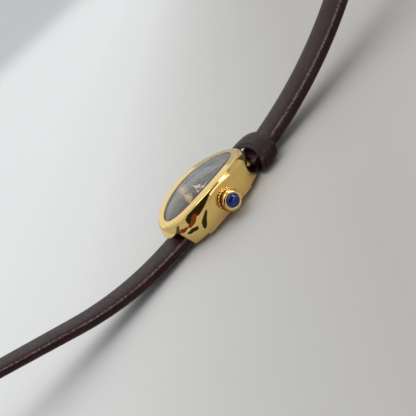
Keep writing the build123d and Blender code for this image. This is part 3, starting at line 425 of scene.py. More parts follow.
def shoulder(angle):
    """Inset and height up the shoulder: a bevel that grows to the lugs, then a rounded edge."""
    grown = math.sin(angle) ** 2
    tall = BEVEL_HEIGHT + BEVEL_HEIGHT_GROWTH * grown
    lean = BEVEL_LEAN + BEVEL_LEAN_GROWTH * grown
    edge = EDGE_HEIGHT + EDGE_HEIGHT_GROWTH * grown
    deep = lean + EDGE_DEPTH * edge
    normal = outward(angle)
    inner_y = HALF_LENGTH * math.sin(angle) - deep * normal.y
    top = arch(inner_y, TOP_CREST, TOP_RADIUS)
    slope = inner_y * normal.y / math.sqrt(TOP_RADIUS ** 2 - inner_y ** 2)
    foot, brow = top - tall - edge, top - edge
    tilt = 2 * lean / (tall + edge)
    curve = [(lean * (k / BEVEL_STEPS) ** 2, foot + (brow - foot) * k / BEVEL_STEPS)
             for k in range(BEVEL_STEPS + 1)]
    hull = ((lean, brow), (lean + EDGE_PULL_UP * edge * tilt, brow + EDGE_PULL_UP * edge),
            (deep - EDGE_PULL_IN * edge, top - slope * EDGE_PULL_IN * edge), (deep, top))
    return curve + [bezier(k / EDGE_STEPS, hull) for k in range(1, EDGE_STEPS + 1)]


def inset_at(curve, height):
    """Inset of the shoulder at a height."""
    return float(np.interp(height, [p[1] for p in curve], [p[0] for p in curve]))


def wall(angle, inset, height):
    """Point of the case's outside at an angle, drawn in by an inset."""
    normal = outward(angle)
    return (flank(HALF_WIDTH, height) * math.cos(angle) - inset * normal.x,
            flank(HALF_LENGTH, height) * math.sin(angle) - inset * normal.y, height)


def bezel_profile(angle):
    """Closed section of the bezel: skirt, seam, shoulder, top, lip and ledge under the glass."""
    c, s = math.cos(angle), math.sin(angle)
    curve = shoulder(angle)
    y = HALF_LENGTH * s
    for _ in range(SETTLE):
        seam = arch(y, SEAM_CREST, SEAM_RADIUS)
        rim = wall(angle, inset_at(curve, seam), seam)
        y = rim[1]
    skirt = (SKIRT[0] * c, SKIRT[1] * s)
    ring = [(*skirt, SKIRT_LOW), (*skirt, arch(skirt[1], SEAM_CREST, SEAM_RADIUS))]
    for share in SEAM_SHARES:
        x, y = (skirt[i] + (rim[i] - skirt[i]) * share for i in (0, 1))
        ring.append((x, y, arch(y, SEAM_CREST, SEAM_RADIUS)))
    for step in range(RIM_STEPS + 1):
        z = seam + (curve[-1][1] - seam) * (1 - (1 - step / RIM_STEPS) ** RIM_POWER)
        ring.append(wall(angle, inset_at(curve, z), z))
    start = Vector(ring[-1])
    inner = Vector(((GLASS_SIZE[0] + GLASS_GAP) * c, (GLASS_SIZE[1] + GLASS_GAP) * s, 0))
    out = Vector((c / GLASS_SIZE[0], s / GLASS_SIZE[1], 0)).normalized()
    edge = inner + LIP_RADIUS * out
    for step in range(1, TOP_STEPS + 1):
        p = start.lerp(edge, step / TOP_STEPS)
        ring.append((p.x, p.y, arch(p.y, TOP_CREST, TOP_RADIUS)))
    height = arch(inner.y, TOP_CREST, TOP_RADIUS)
    for a in (math.radians(degrees) for degrees in LIP_ANGLES):
        p = edge - LIP_RADIUS * math.sin(a) * out
        ring.append((p.x, p.y, height - LIP_RADIUS * (1 - math.cos(a))))
    ledge_crest, ledge_radius = (v - GLASS_THICK - LEDGE_GAP for v in (GLASS_CREST, TOP_RADIUS))
    ledge = arch(inner.y, ledge_crest, ledge_radius)
    throat = (THROAT[0] * c, THROAT[1] * s)
    return ring + [(inner.x, inner.y, 0.5 * (height + ledge)), (inner.x, inner.y, ledge),
                   (*throat, arch(throat[1], ledge_crest, ledge_radius)), (*throat, SKIRT_LOW)]


RECESS_HALF, RECESS_WALL, RECESS_TOP = 4.12, 6.85, 4.55
BELLY_CREST, BELLY_RADIUS = 1.6, 62.0
LUG_REACH, LUG_SPREAD = 9.35, 0.2625
FLANK_STEPS, EDGE_SETTLE, STEEPEST = 72, 8, 0.999
BAND_LEVELS = [BAND_LOW + 0.25 * k for k in range(14)] + [4.3, 4.5, RECESS_TOP]
CLOSED_LEVELS = [RECESS_TOP + 0.13 * k for k in range(21)]
CAVITY, CAVITY_FLAT, CAVITY_TOP = (7.0, 7.0), 5.8, 5.15
BACK_GAP = 0.04
BACK, BACK_FLAT, BACK_SEAT = (7.6 + BACK_GAP, 10.6 + BACK_GAP), 6.35 + BACK_GAP, 1.55
MOUTH = (7.09, 9.58)


def band_outline(level, recess):
    """Plan of the band at a level: bowed flanks between four lugs, with strap recesses or none."""
    def bound(y):
        """The level, kept between the belly and the seam."""
        return min(max(level, arch(y, BELLY_CREST, BELLY_RADIUS)), arch(y, SEAM_CREST, SEAM_RADIUS))

    def edge(share, side):
        """Point on a flank, from one lug at -1 to the other at 1."""
        z = level
        for _ in range(SETTLE):
            y = share * (LUG_REACH + LUG_SPREAD * (z - BAND_LOW))
            z = bound(y)
        sine = y / flank(HALF_LENGTH, z)
        for _ in range(EDGE_SETTLE):
            angle = math.asin(max(-STEEPEST, min(STEEPEST, sine)))
            inset = inset_at(shoulder(angle), z)
            sine = (y + inset * outward(angle).y) / flank(HALF_LENGTH, z)
        x, y, z = wall(angle, inset, z)
        return side * x, y, z

    def row(starts, ends, shares):
        """Points at shares of a straight line in plan."""
        points = ([a + (b - a) * t for a, b in zip(starts, ends)] for t in shares)
        return [(x, y, bound(y)) for x, y in points]

    ring = []
    for side in (1, -1):
        ring += [edge(side * (-1 + 2 * k / FLANK_STEPS), side) for k in range(FLANK_STEPS + 1)]
        x, y, _ = ring[-1]
        near, far = side * RECESS_HALF, -side * RECESS_HALF
        deep = side * (RECESS_WALL if recess else abs(y))
        ring += row((near, y), (x, y), (0.75, 0.5, 0.25, 0))
        ring += row((near, y), (near, deep), (0.33, 0.66, 1))
        ring += row((near, deep), (far, deep), (0.2, 0.4, 0.6, 0.8, 1))
        ring += row((far, deep), (far, y), (0.33, 0.66, 1))
        ring += row((far, y), (-side * abs(edge(side, -side)[0]), y), (0.25, 0.5, 0.75))
    return ring


def make_band():
    """Middle of the case as one closed shell round the movement."""
    outer = [band_outline(z, recess=True) for z in BAND_LEVELS]
    outer += [band_outline(z, recess=False) for z in CLOSED_LEVELS]
    angles = [math.atan2(y / HALF_LENGTH, x / HALF_WIDTH) for x, y, z in outer[-1]]

    def inner(size, height, flat=math.inf):
        """Oval inside the band, with flat ends, at a height that is fixed or depends on y."""
        points = []
        for a in angles:
            x, y = size[0] * math.cos(a), max(-flat, min(flat, size[1] * math.sin(a)))
            points.append((x, y, height(y) if callable(height) else height))
        return points

    rings = [inner(CAVITY, CAVITY_TOP, CAVITY_FLAT), inner(CAVITY, BACK_SEAT, CAVITY_FLAT),
             inner(BACK, BACK_SEAT, BACK_FLAT),
             inner(BACK, lambda y: arch(y, BELLY_CREST, BELLY_RADIUS), BACK_FLAT)]
    rings += outer
    rings += [inner(MOUTH, lambda y: arch(y, SEAM_CREST, SEAM_RADIUS)), inner(MOUTH, CAVITY_TOP)]
    Shell().add(rings, closed_rows=True).piece(
        "case_band_gold", "case", ["case_band"], GOLD, "polished_gold", sharp=34.0)


def make_bezel():
    """Bezel as sections set round the oval."""
    rings = [bezel_profile(a) for a in turns(AROUND)]
    Shell().add(rings, closed_rows=True).piece(
        "bezel_gold", "case", ["bezel"], GOLD, "polished_gold", sharp=32.0)


GLASS_HALF = tuple(v - GASKET_WALL for v in GLASS_SIZE)
DOME, INNER_DOME, GLASS_LIFT = 0.42, 0.3, 0.03
TOP_SHARES = (0.002, 0.15, 0.3, 0.45, 0.6, 0.72, 0.82, 0.9, 0.95, 0.98)
LOW_SHARES = (1.0, 0.99, 0.9, 0.75, 0.6, 0.45, 0.3, 0.15, 0.002)
RIM_EASE, RIM_SHARE, RIM_ANGLES = 0.08, 0.985, (20, 45, 70, 90)


def glass_ring(share, crest, radius, dome):
    """Oval on a domed arch, at a share of the glass's size."""
    ring = []
    for a in turns(AROUND):
        x, y = share * GLASS_HALF[0] * math.cos(a), share * GLASS_HALF[1] * math.sin(a)
        ring.append((x, y, arch(y, crest, radius) + dome * (1 - share ** 2)))
    return ring


def make_crystal():
    """Glass bent along the case and slightly domed, with an eased rim."""
    crest = TOP_CREST + GLASS_LIFT
    rings = [glass_ring(share, crest, TOP_RADIUS, DOME) for share in TOP_SHARES]
    for a in (math.radians(degrees) for degrees in RIM_ANGLES):
        rings.append(glass_ring(RIM_SHARE + (1 - RIM_SHARE) * math.sin(a),
                                crest - RIM_EASE * (1 - math.cos(a)), TOP_RADIUS, DOME))
    low_crest, low_radius = GLASS_CREST - GLASS_THICK, TOP_RADIUS - GLASS_THICK
    rings += [glass_ring(share, low_crest, low_radius, INNER_DOME) for share in LOW_SHARES]
    Shell().add(rings).piece(
        "crystal_glass_bent", "case", ["crystal"], GLASS, "crystal_glass", sharp=32.0)


SEAL_CLEARANCE, SEAL_LEDGE = 0.02, 0.45
# Section of the seal: inset from the bezel's wall and drop below the glass's crest
SEAL_SECTION = (
    (0.0, 0.26), (0.03, 0.21), (0.08, 0.2), (GASKET_WALL, 0.22), (GASKET_WALL, GLASS_THICK),
    (SEAL_LEDGE, GLASS_THICK), (SEAL_LEDGE, GLASS_THICK + 0.17), (0.0, GLASS_THICK + 0.17))


def make_gasket():
    """Clear seal that lines the crystal's rim, coloured dark olive as painted shade, seen as a thin
    dark line round the glass.
    """
    rings = []
    for a in turns(AROUND):
        ring = []
        for inset, drop in SEAL_SECTION:
            x = (GLASS_SIZE[0] + SEAL_CLEARANCE - inset) * math.cos(a)
            y = (GLASS_SIZE[1] + SEAL_CLEARANCE - inset) * math.sin(a)
            ring.append((x, y, arch(y, GLASS_CREST - drop, TOP_RADIUS - drop)))
        rings.append(ring)
    Shell().add(rings, closed_rows=True).piece(
        "crystal_gasket_ring", "case", ["crystal_gasket"], GASKET_PAINTED_SHADE, "clear_gasket", sharp=40.0)


# ---------------------------------------------------------------- crown
CROWN_HEIGHT, CROWN_REACH = 3.85, 9.62
BEADS, BEAD_POINTS, BEAD_RINGS = 22, 12, 12
BEAD_START, BEAD_LENGTH, BEAD_RADIUS, BEAD_SWELL, BEAD_RISE = 0.03, 0.74, 2.02, 0.1, 0.28
# Zone and radius under which the crown's faces take painted shade between the beads.
GROOVE_START, GROOVE_END, GROOVE_RADIUS = 0.1, 0.9, 2.19
FRONT_EASE, FRONT_EASE_STEPS = 0.12, 4
# Turned profiles: distance from the crown's base and radius
BORE_PROFILE = ((1.3, 0.36), (1.3, 1.15), (0.0, 1.15), (0.0, 1.95))
NECK_PROFILE = ((0.8, 1.95), (0.8, 1.75), (0.92, 1.75), (0.92, 1.86))
FRONT_START, FRONT_RADIUS = 0.92, 2.0
FRONT_PROFILE = ((1.42, 2.0), (1.65, 1.995), (1.77, 1.97), (1.87, 1.92), (1.97, 1.83), (2.03, 1.73),
                 (2.07, 1.62), (2.07, 1.45), (2.03, 1.385), (1.79, 1.38), (1.79, 0.3))
STONE_PROFILE = ((1.79, 0.02), (1.79, 1.32), (1.83, 1.37), (2.02, 1.37))
STONE_START, STONE_RADIUS, STONE_RISE = 2.02, 1.37, 0.88
STONE_POWER, STONE_STEPS, STONE_TIP = 0.9, 18, 0.004


def crown_ring(distance, radius, bead=0.0):
    """Ring round the crown's axis, with round lobes where it has beads."""
    ring = []
    for k, a in enumerate(turns(BEADS * BEAD_POINTS)):
        lobe = 2 * ((k / BEAD_POINTS) % 1.0) - 1
        r = radius + bead * math.sqrt(max(0.0, 1 - lobe * lobe))
        ring.append((CROWN_REACH + distance, r * math.cos(a), CROWN_HEIGHT + r * math.sin(a)))
    return ring


def make_crown():
    """Crown with a ring of beads, a neck and a polished front that holds the stone."""
    rings = [crown_ring(*p) for p in BORE_PROFILE]
    for k in range(BEAD_RINGS + 1):
        lift = math.sqrt(max(0.0, 1 - (2 * k / BEAD_RINGS - 1) ** 2))
        rings.append(crown_ring(BEAD_START + BEAD_LENGTH * k / BEAD_RINGS,
                                BEAD_RADIUS + BEAD_SWELL * lift, BEAD_RISE * lift))
    rings += [crown_ring(*p) for p in NECK_PROFILE]
    for k in range(FRONT_EASE_STEPS + 1):
        a = math.radians(90 * k / FRONT_EASE_STEPS)
        rings.append(crown_ring(FRONT_START + FRONT_EASE * math.sin(a),
                                FRONT_RADIUS - FRONT_EASE * math.cos(a)))
    rings += [crown_ring(*p) for p in FRONT_PROFILE]
    crown = Shell().add(rings).piece(
        "crown_beaded", "crown", ["crown"], GOLD, "polished_gold", sharp=40.0)
    # Faces low between the beads, in the beaded zone, take the darker gold as painted shade.
    crown.data.materials.append(GROOVE_SHADE)
    for face in crown.data.polygons:
        x, y, z = face.center / MM
        in_zone = GROOVE_START < x - CROWN_REACH < GROOVE_END
        if in_zone and math.hypot(y, z - CROWN_HEIGHT) < GROOVE_RADIUS:
            face.material_index = 1


def make_stone():
    """Domed stone in the crown's front."""
    rings = [crown_ring(*p) for p in STONE_PROFILE]
    for k in range(1, STONE_STEPS + 1):
        a = math.radians(90 * k / STONE_STEPS)
        rings.append(crown_ring(STONE_START + STONE_RISE * math.sin(a),
                                max(STONE_TIP, STONE_RADIUS * math.cos(a) ** STONE_POWER)))
    Shell().add(rings).piece(
        "cabochon_dome", "crown", ["crown_cabochon"], STONE, "blue_stone", sharp=40.0)


# ---------------------------------------------------------------- strap
BAR_REACH, BAR_HEIGHT = 8.6, 2.0
# Middle line of each strap: first slope, then runs and arcs as length and radius, 0 for straight
UPPER = {"way": 1, "start": 4.3, "pieces": [(4.5, 0), (47.728, 113.0), (19.772, -39.749)],
         "length": 72.0, "width": 7.8, "padded": 2.85, "end": 2.4}
LOWER = {"way": -1, "start": 1.0, "pieces": [(5.1, 0), (22.846, 64.8), (32.0, 0), (46.055, -150.0)],
         "length": 106.0, "width": 5.9, "padded": 2.35, "end": 1.35}
ROOT_WIDTH, ROOT_THICK, PADDING = 8.0, 2.35, 10.0
CORNER, SPLIT_CORNER, CROWNING = 0.36, 0.3, 0.13  # shares of the strap's thickness
CORNER_STEPS, FACE_STEPS = 6, 8
BAND_START = 0.3
LEATHER_SHARP = 50.0

ROLL_RADIUS, ROLL_BORE, ROLL_HEIGHT, ROLL_HALF = 1.5, 0.46, 2.05, 4.0
ROLL_EDGE, ROLL_ANGLES, ROLL_STEPS = 0.3, (0, 22, 45, 67, 90), 48
SPLIT_START, SPLIT_OVERLAP, SPLIT_END, SPLIT_HALF = 69.3, 0.3, 71.2, 0.75
UPPER_STATIONS, SPLIT_STATIONS = 150, 6
BUCKLE_ROLL, BUCKLE_BORE, BUCKLE_ROLL_HALF, BUCKLE_ROLL_EDGE = 1.25, 0.51, 3.9, 0.25

TIP_START, TIP_LENGTH, TIP_NARROWING = 101.0, 5.0, 0.775
TIP_FIRST, TIP_LAST = 101.3, 105.9
LOWER_STATIONS, TIP_STATIONS = 200, 24
HOLES, HOLE_RADIUS, HOLE_PITCH, HOLE_FROM_END, HOLE_SIDES, CUTTER_HALF = 5, 0.75, 6.5, 24.0, 32, 3.0


def station(strap, distance):
    """Reach, height and slope of a strap's middle line."""
    reach, rise, slope = 0.0, 0.0, math.radians(strap["start"])
    for length, radius in strap["pieces"]:
        run = min(max(distance, 0.0), length)
        if radius == 0:
            reach += run * math.cos(slope)
            rise += run * math.sin(slope)
        else:
            turn = run / radius
            reach += radius * (math.sin(slope + turn) - math.sin(slope))
            rise += radius * (math.cos(slope) - math.cos(slope + turn))
            slope += turn
        distance -= run
    return BAR_REACH + reach, BAR_HEIGHT + rise, slope


def strap_size(strap, s):
    """Width and thickness of a strap at a distance from its bar."""
    width = strap["width"] + (ROOT_WIDTH - strap["width"]) * (1 - s / strap["length"]) ** 2
    if s < PADDING:
        return width, ROOT_THICK + (strap["padded"] - ROOT_THICK) * s / PADDING
    share = 1 - (s - PADDING) / (strap["length"] - PADDING)
    return width, strap["end"] + (strap["padded"] - strap["end"]) * share ** 2


def on_strap(strap, s, x, y, z):
    """Point at x across, y further along and z above a strap's middle line."""
    reach, height, slope = station(strap, s)
    return (x, strap["way"] * (reach + y * math.cos(slope) - z * math.sin(slope)),
            height + y * math.sin(slope) + z * math.cos(slope))


def band_section(left, right, thick, corner):
    """Outline of a strap: rounded edges and a face that is a little fuller in the middle."""
    half, middle, crown = (right - left) / 2, (right + left) / 2, CROWNING * thick
    out = []

    def put(x, z):
        """Add a point, lower towards the sides of the upper face."""
        fall = crown * (abs(x) / half) ** 3 if z > 0 else 0.0
        out.append((x + middle, z - fall))

    for quarter, (sx, sz) in enumerate(((1, 1), (-1, 1), (-1, -1), (1, -1))):
        for k in range(CORNER_STEPS + 1):
            a = math.radians(90 * quarter + 90 * k / CORNER_STEPS)
            put(sx * (half - corner) + corner * math.cos(a),
                sz * (thick / 2 - corner) + corner * math.sin(a))
        if sx == sz:
            for k in range(1, FACE_STEPS):
                put(sx * (half - corner) * (1 - 2 * k / FACE_STEPS), sz * thick / 2)
    return out


def lay_band(shell, strap, stations, shape):
    """Loft a strap's outline over a list of distances."""
    shell.add([[on_strap(strap, s, x, 0, z) for x, z in band_section(*shape(s))] for s in stations])


def lay_roll(shell, centre, radius, bore, left, right, edge=ROLL_EDGE):
    """Roll of leather round a bar, with rounded ends."""
    angles = [math.radians(d) for d in ROLL_ANGLES]
    eased = [(edge * (1 - math.cos(a)), radius - edge * (1 - math.sin(a))) for a in angles]
    profile = [(left + inset, r) for inset, r in eased]
    profile += [(right - inset, r) for inset, r in eased[::-1]]
    profile += [(right, bore), (left, bore)]
    shell.add([[(x, centre[0] + r * math.cos(a), centre[1] + r * math.sin(a)) for x, r in profile]
               for a in turns(ROLL_STEPS)], closed_rows=True)


def upper_strap():
    """Twelve o'clock strap, rolled round both its bars and slotted for the tongue."""
    def plain(s):
        """Section of the whole strap at a distance."""
        width, thick = strap_size(UPPER, s)
        return -width / 2, width / 2, thick, CORNER * thick

    shell = Shell()
    lay_band(shell, UPPER, spread(BAND_START, SPLIT_START + SPLIT_OVERLAP, UPPER_STATIONS), plain)
    lay_roll(shell, (BAR_REACH, ROLL_HEIGHT), ROLL_RADIUS, ROLL_BORE, -ROLL_HALF, ROLL_HALF)
    reach, height, _ = station(UPPER, UPPER["length"])
    for side in (-1, 1):
        def half(s, side=side):
            """Section of the strap on one side of the slot."""
            width, thick = strap_size(UPPER, s)
            return *sorted((side * SPLIT_HALF, side * width / 2)), thick, SPLIT_CORNER * thick

        lay_band(shell, UPPER, spread(SPLIT_START, SPLIT_END, SPLIT_STATIONS), half)
        near, far = sorted((side * SPLIT_HALF, side * BUCKLE_ROLL_HALF))
        lay_roll(shell, (reach, height), BUCKLE_ROLL, BUCKLE_BORE, near, far, BUCKLE_ROLL_EDGE)
    shell.piece("upper_strap_leather", "upper_strap", ["upper_strap"], LEATHER, "strap_leather",
                LEATHER_SHARP)


def lower_strap():
    """Six o'clock strap with a rounded point and a row of holes."""
    def pointed(s):
        """Section that narrows in a round point."""
        width, thick = strap_size(LOWER, s)
        past = max(0.0, (s - TIP_START) / TIP_LENGTH)
        width *= math.sqrt(1 - TIP_NARROWING * past ** 2)
        return -width / 2, width / 2, thick, CORNER * thick

    shell = Shell()
    stations = spread(BAND_START, TIP_START, LOWER_STATIONS)
    stations += spread(TIP_FIRST, TIP_LAST, TIP_STATIONS)
    lay_band(shell, LOWER, stations, pointed)
    lay_roll(shell, (-BAR_REACH, ROLL_HEIGHT), ROLL_RADIUS, ROLL_BORE, -ROLL_HALF, ROLL_HALF)
    made = shell.piece("lower_strap_leather", "lower_strap", ["lower_strap"], LEATHER,
                       "strap_leather", LEATHER_SHARP)
    for hole in range(HOLES):
        punch(made, LOWER["length"] - HOLE_FROM_END - (hole - 1) * HOLE_PITCH)


def punch(made, s):
    """Round hole through the lower strap at a distance from its bar."""
    rings = [[on_strap(LOWER, s, HOLE_RADIUS * math.cos(a), HOLE_RADIUS * math.sin(a), z)
              for a in turns(HOLE_SIDES)] for z in (-CUTTER_HALF, CUTTER_HALF)]
    shell = Shell().add(rings)
    cutter = mesh_object("punch", shell.points, shell.faces, LEATHER)
    cut = made.modifiers.new("hole", "BOOLEAN")
    cut.object, cut.operation, cut.solver = cutter, "DIFFERENCE", "EXACT"
    view = bpy.context.evaluated_depsgraph_get()
    mesh = bpy.data.meshes.new_from_object(made.evaluated_get(view))
    made.modifiers.clear()
    made.data = mesh
    bpy.data.objects.remove(cutter)


# ---------------------------------------------------------------- keepers
LOOP_WALL, LOOP_EDGE, LOOP_CROWNING = 0.6, 0.24, 0.14
LOOP_POINTS, LOOP_CORNER_STEPS, LOOP_FACE_STEPS = 96, 5, 6

# Loose keeper: its own form, and how it stands on the strap against the case
LOOSE_HALF = (7.0, 2.5)
LOOSE_POWER, LOOSE_LENGTH, LOOSE_LEAN, LOOSE_WRAP = 2.7, 4.8, 22.0, 1.7
LOOSE_ROLL, LOOSE_YAW, LOOSE_TILT = 2.5, 4.5, 1.5
LOOSE_PLACE_LENGTH, CASE_GAP, FLOOR_GAP = 4.6, 0.25, 0.06
LOOSE_SIDE_SHIFT, LOOSE_LIFT = 0.4, 0.2

FIXED_PLACE, FIXED_LENGTH, FIXED_POWER = 64.0, 4.0, 5.0
FIXED_HALF_HEIGHT, FIXED_SIDE_ROOM = 2.55, 0.68
FIXED_REACH, FIXED_SINK = 3.9 / 2, 0.08


def loop_path(half_width, half_height, power):
    """Full rounded loop: points and outward normals."""
    out = []
    for a in turns(LOOP_POINTS):
        c, s = math.cos(a), math.sin(a)
        x = half_width * math.copysign(abs(c) ** (2 / power), c)
        z = half_height * math.copysign(abs(s) ** (2 / power), s)
        n = Vector((math.copysign(abs(x / half_width) ** (power - 1), x) / half_width,
                    math.copysign(abs(z / half_height) ** (power - 1), z) / half_height))
        out.append((x, z, *n.normalized()))
    return out


def loop_section(length):
    """Outline of a keeper's wall, as offset outwards and place along the strap, crowned outside."""
    half_wall, half_length = LOOP_WALL / 2 - LOOP_EDGE, length / 2 - LOOP_EDGE
    section = []
    for quarter, (so, sl) in enumerate(((1, 1), (-1, 1), (-1, -1), (1, -1))):
        for k in range(LOOP_CORNER_STEPS + 1):
            a = math.radians(90 * quarter + 90 * k / LOOP_CORNER_STEPS)
            section.append((so * half_wall + LOOP_EDGE * math.cos(a),
                            sl * half_length + LOOP_EDGE * math.sin(a)))
        if so == sl:
            section += [(so * LOOP_WALL / 2, sl * half_length * (1 - 2 * k / LOOP_FACE_STEPS))
                        for k in range(1, LOOP_FACE_STEPS)]
    return [(o - LOOP_CROWNING * abs(2 * l / length) ** 3 if o > 0 else o, l) for o, l in section]


def keeper_rings(half, power, length, lean=0.0, wrap=0.0):
    """Leather loop that can lean back and wrap round at its sides."""
    half_width, half_height = half
    section, slant = loop_section(length), math.tan(math.radians(lean))
    rings = []
    for x, z, nx, nz in loop_path(half_width - LOOP_WALL / 2, half_height - LOOP_WALL / 2, power):
        shift = z * slant - wrap * (x / half_width) ** 2
        rings.append([(x + o * nx, l + shift, z + o * nz) for o, l in section])
    return rings


def loose_keeper():
    """Sliding keeper, which has slipped down against the case."""
    tilt, roll, yaw = (math.radians(a) for a in (LOOSE_TILT, LOOSE_ROLL, LOOSE_YAW))
    half_height = LOOSE_HALF[1]
    back = LOOSE_PLACE_LENGTH / 2 - half_height * math.tan(math.radians(LOOSE_LEAN))
    reach = HALF_LENGTH + CASE_GAP + back * math.cos(tilt) - half_height * math.sin(tilt)
    height = FLOOR_GAP + back * math.sin(tilt) + half_height * math.cos(tilt)

    def stand(x, y, z):
        """Turn a point of the keeper's own form to its place on the strap."""
        x, z = x * math.cos(roll) + z * math.sin(roll), z * math.cos(roll) - x * math.sin(roll)
        x, y = x * math.cos(yaw) - y * math.sin(yaw), y * math.cos(yaw) + x * math.sin(yaw)
        return (x + LOOSE_SIDE_SHIFT, reach + y * math.cos(tilt) + z * math.sin(tilt),
                height + LOOSE_LIFT - y * math.sin(tilt) + z * math.cos(tilt))

    rings = keeper_rings(LOOSE_HALF, LOOSE_POWER, LOOSE_LENGTH, LOOSE_LEAN, LOOSE_WRAP)
    Shell().add([[stand(*p) for p in ring] for ring in rings], closed_rows=True).piece(
        "loose_keeper_leather", "loose_keeper", ["loose_keeper"], LOOP_LEATHER, "strap_leather",
        LEATHER_SHARP)


def fixed_keeper():
    """Keeper sewn to the upper strap beside the buckle."""
    width, thick = strap_size(UPPER, FIXED_PLACE)
    lift = FIXED_REACH - thick / 2 - FIXED_SINK
    half = (width / 2 + FIXED_SIDE_ROOM, FIXED_HALF_HEIGHT)
    rings = keeper_rings(half, FIXED_POWER, FIXED_LENGTH)
    laid = [[on_strap(UPPER, FIXED_PLACE, x, y, z + lift) for x, y, z in ring] for ring in rings]
    Shell().add(laid, closed_rows=True).piece(
        "fixed_keeper_leather", "upper_strap", ["fixed_keeper"], LOOP_LEATHER, "strap_leather",
        LEATHER_SHARP)


# ---------------------------------------------------------------- floor, cards, world and lamps
FLOOR_RADII = (0.0001, 0.1, 0.3, 0.6, 1.0, 1.4)
BOWL_START, BOWL_RADIUS, BOWL_STEPS, BACKDROP = 1.4, 0.9, 12, (2.3, 1.3)
FLOOR_SIDES, FLOOR_DROP = 64, 0.00002
# Floor colour along one way across it: painted shade, pale on one side of the watch, darkest in a
# band just past it, paler again further off.
FLOOR_SHADE_WAY, FLOOR_SHADE_SPAN = (0.54, 0.84, 0.0), (-0.1, 0.7)
FLOOR_SHADE_RAMP = [(0.01, (0.92, 0.93, 0.925)), (0.07, (0.87, 0.87, 0.86)), (0.125, (0.67, 0.662, 0.64)),
            (0.16, (0.57, 0.558, 0.535)), (0.45, (0.78, 0.775, 0.76)), (1.0, (0.88, 0.88, 0.87))]


def make_floor():
    """Pale floor that turns up smoothly into a backdrop on all sides, with painted shade in a
    darker band near the watch.
    """
    profile = [(r, 0.0) for r in FLOOR_RADII]
    for k in range(1, BOWL_STEPS + 1):
        a = math.radians(90 * k / BOWL_STEPS)
        profile.append((BOWL_START + BOWL_RADIUS * math.sin(a), BOWL_RADIUS * (1 - math.cos(a))))
    profile.append(BACKDROP)
    points = [(r * math.cos(a), r * math.sin(a), z) for r, z in profile for a in turns(FLOOR_SIDES)]
    faces = [tuple(range(FLOOR_SIDES))]
    for row in range(len(profile) - 1):
        here, there = row * FLOOR_SIDES, (row + 1) * FLOOR_SIDES
        for c in range(FLOOR_SIDES):
            d = (c + 1) % FLOOR_SIDES
            faces.append((here + c, here + d, there + d, there + c))
    mesh = bpy.data.meshes.new("floor")
    mesh.from_pydata(points, [], faces)
    mesh.polygons.foreach_set("use_smooth", [True] * len(mesh.polygons))
    s = Shader("floor")
    across = s.node("ShaderNodeVectorMath", operation="DOT_PRODUCT")
    s.link(s.place(), across.inputs[0])
    across.inputs[1].default_value = FLOOR_SHADE_WAY
    s.feed(Base_Color=s.ramp(s.span(across.outputs["Value"], 0.0, 1.0, *FLOOR_SHADE_SPAN), FLOOR_SHADE_RAMP))
    s.set(Roughness=0.9, Specular_IOR_Level=0.2)
    mesh.materials.append(s.material)
    floor = bpy.data.objects.new("floor", mesh)
    bpy.context.scene.collection.objects.link(floor)
    floor.location.z = -FLOOR_DROP


def facing(place, target):
    """Placement at a point that looks away from a target along its Z."""
    place, target = Vector(place), Vector(target)
    return Matrix.Translation(place) @ (place - target).to_track_quat("Z", "Y").to_matrix().to_4x4()


CARD_POINTS, SQUARE_POWER, WAVY_POWER = 48, 0.08, 0.85
WAVES = ((1.0, 2, 1.0), (0.7, 3, 0.0), (0.4, 5, 2.0))  # share, lobes and phase
WATCH = (0.007, -0.005, 0.005)
CROWN_FRONT = (0.0122, 0.0, 0.0039)
DARK, HAND = (0.012, 0.009, 0.007), (0.27, 0.075, 0.012)
PALE, GREY = (0.98, 0.97, 0.95), (0.5, 0.5, 0.49)


def make_card(name, place, size, colour, aim=WATCH, glow=0.0, wave=0.0, spin=0.0):
    """Studio card, square or with a wavy outline, that only reflected and refracted rays see."""
    power = WAVY_POWER if wave else SQUARE_POWER
    outline = []
    for a in turns(CARD_POINTS):
        c, s = math.cos(a), math.sin(a)
        sway = sum(share * math.sin(lobes * a + phase) for share, lobes, phase in WAVES)
        r = 0.5 * (1 + wave * sway)
        x = r * math.copysign(abs(c) ** power, c) * size[0]
        y = r * math.copysign(abs(s) ** power, s) * size[1]
        outline.append((x * math.cos(spin) - y * math.sin(spin),
                        x * math.sin(spin) + y * math.cos(spin), 0))
    mesh = bpy.data.meshes.new(name)
    mesh.from_pydata(outline, [], [tuple(range(CARD_POINTS))])
    s = Shader(name)
    s.set(Base_Color=(*colour, 1.0), Roughness=0.8,
          Emission_Color=(*colour, 1.0), Emission_Strength=glow)
    mesh.materials.append(s.material)
    card = bpy.data.objects.new(name, mesh)
    card.matrix_world = facing(place, aim)
    card.visible_camera = card.visible_diffuse = card.visible_shadow = False
    bpy.context.scene.collection.objects.link(card)


def below(x, y):
    """Aim straight down from a place."""
    return x, y, -0.1


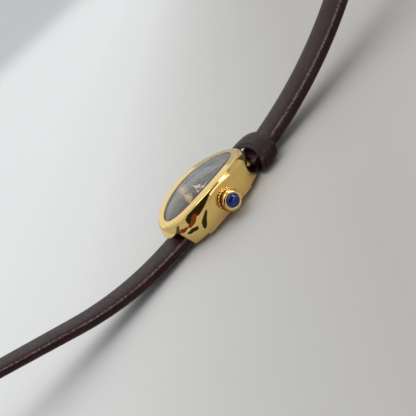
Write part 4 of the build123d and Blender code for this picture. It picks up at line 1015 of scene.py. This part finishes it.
def make_cards():
    """Surroundings that the photograph's gold, glass and stone reflect."""
    make_card("dark_wide", (0.33, -0.14, 0.20), (0.72, 0.27), DARK)
    make_card("dark_side", (0.084, -0.018, 0.031), (0.075, 0.030), DARK, wave=0.06, spin=-0.12)
    make_card("dark_mid", (0.054, -0.056, 0.023), (0.058, 0.044), DARK, wave=0.10, spin=0.5)
    make_card("dark_thin", (0.22, 0.185, 0.115), (0.26, 0.07), DARK)
    make_card("dark_slot", (0.0185, -0.0093, 0.0004), (0.017, 0.0032), DARK, below(0.0185, -0.0093),
              wave=0.13, spin=-0.18)
    make_card("dark_low", (0.0095, -0.0150, 0.0004), (0.0040, 0.0095), DARK, below(0.0095, -0.0150),
              wave=0.16)
    make_card("hand", (0.0174, -0.0214, 0.0040), (0.0105, 0.0075), HAND, wave=0.16, spin=0.4)
    make_card("hand_low", (0.0085, -0.0290, 0.0032), (0.0085, 0.0065), HAND, wave=0.2, spin=-0.3)
    make_card("dark_foot", (0.039, -0.013, 0.0085), (0.034, 0.010), DARK, spin=0.2, wave=0.04)
    make_card("pale_wall", (0.066, 0.024, 0.0075), (0.062, 0.014), PALE, glow=0.8)
    make_card("window", (0.20, 0.27, 0.20), (0.09, 0.20), PALE, glow=2.0)
    make_card("glint", (0.0283, 0.0160, 0.0144), (0.0060, 0.0190), PALE, CROWN_FRONT, glow=7.0)
    make_card("ceiling", (-0.25, 0.022, 0.182), (0.34, 0.12), GREY, glow=0.45)


SKY_COLOUR, SKY_STRENGTH = (0.96, 0.97, 1.0, 1.0), 0.64


def make_world():
    """Even light from all round."""
    world = bpy.data.worlds.new("world")
    world.use_nodes = True
    bpy.context.scene.world = world
    sky = world.node_tree.nodes["Background"]
    sky.inputs["Color"].default_value = SKY_COLOUR
    sky.inputs["Strength"].default_value = SKY_STRENGTH


def area_light(name, place, target, side, power, colour):
    """Square lamp that shines from a place at a target."""
    data = bpy.data.lights.new(name, "AREA")
    data.shape = "RECTANGLE"
    data.size = data.size_y = side
    data.energy = power
    data.color = colour
    lamp = bpy.data.objects.new(name, data)
    lamp.matrix_world = facing(place, target)
    bpy.context.scene.collection.objects.link(lamp)


make_camera()
dress_nodes()
make_bezel()
make_band()
make_crystal()
make_gasket()
make_crown()
make_stone()
upper_strap()
lower_strap()
loose_keeper()
fixed_keeper()
make_floor()
make_world()
area_light("key", (-0.50, 0.05, 0.42), (-0.36, 0, 0), 1.0, 1.3, (1.0, 0.995, 0.98))
area_light("top", (0.10, -0.05, 0.40), (0, 0, 0.004), 0.22, 0.22, (1.0, 0.985, 0.96))
make_cards()
bpy.context.scene.view_settings.view_transform = "Standard"
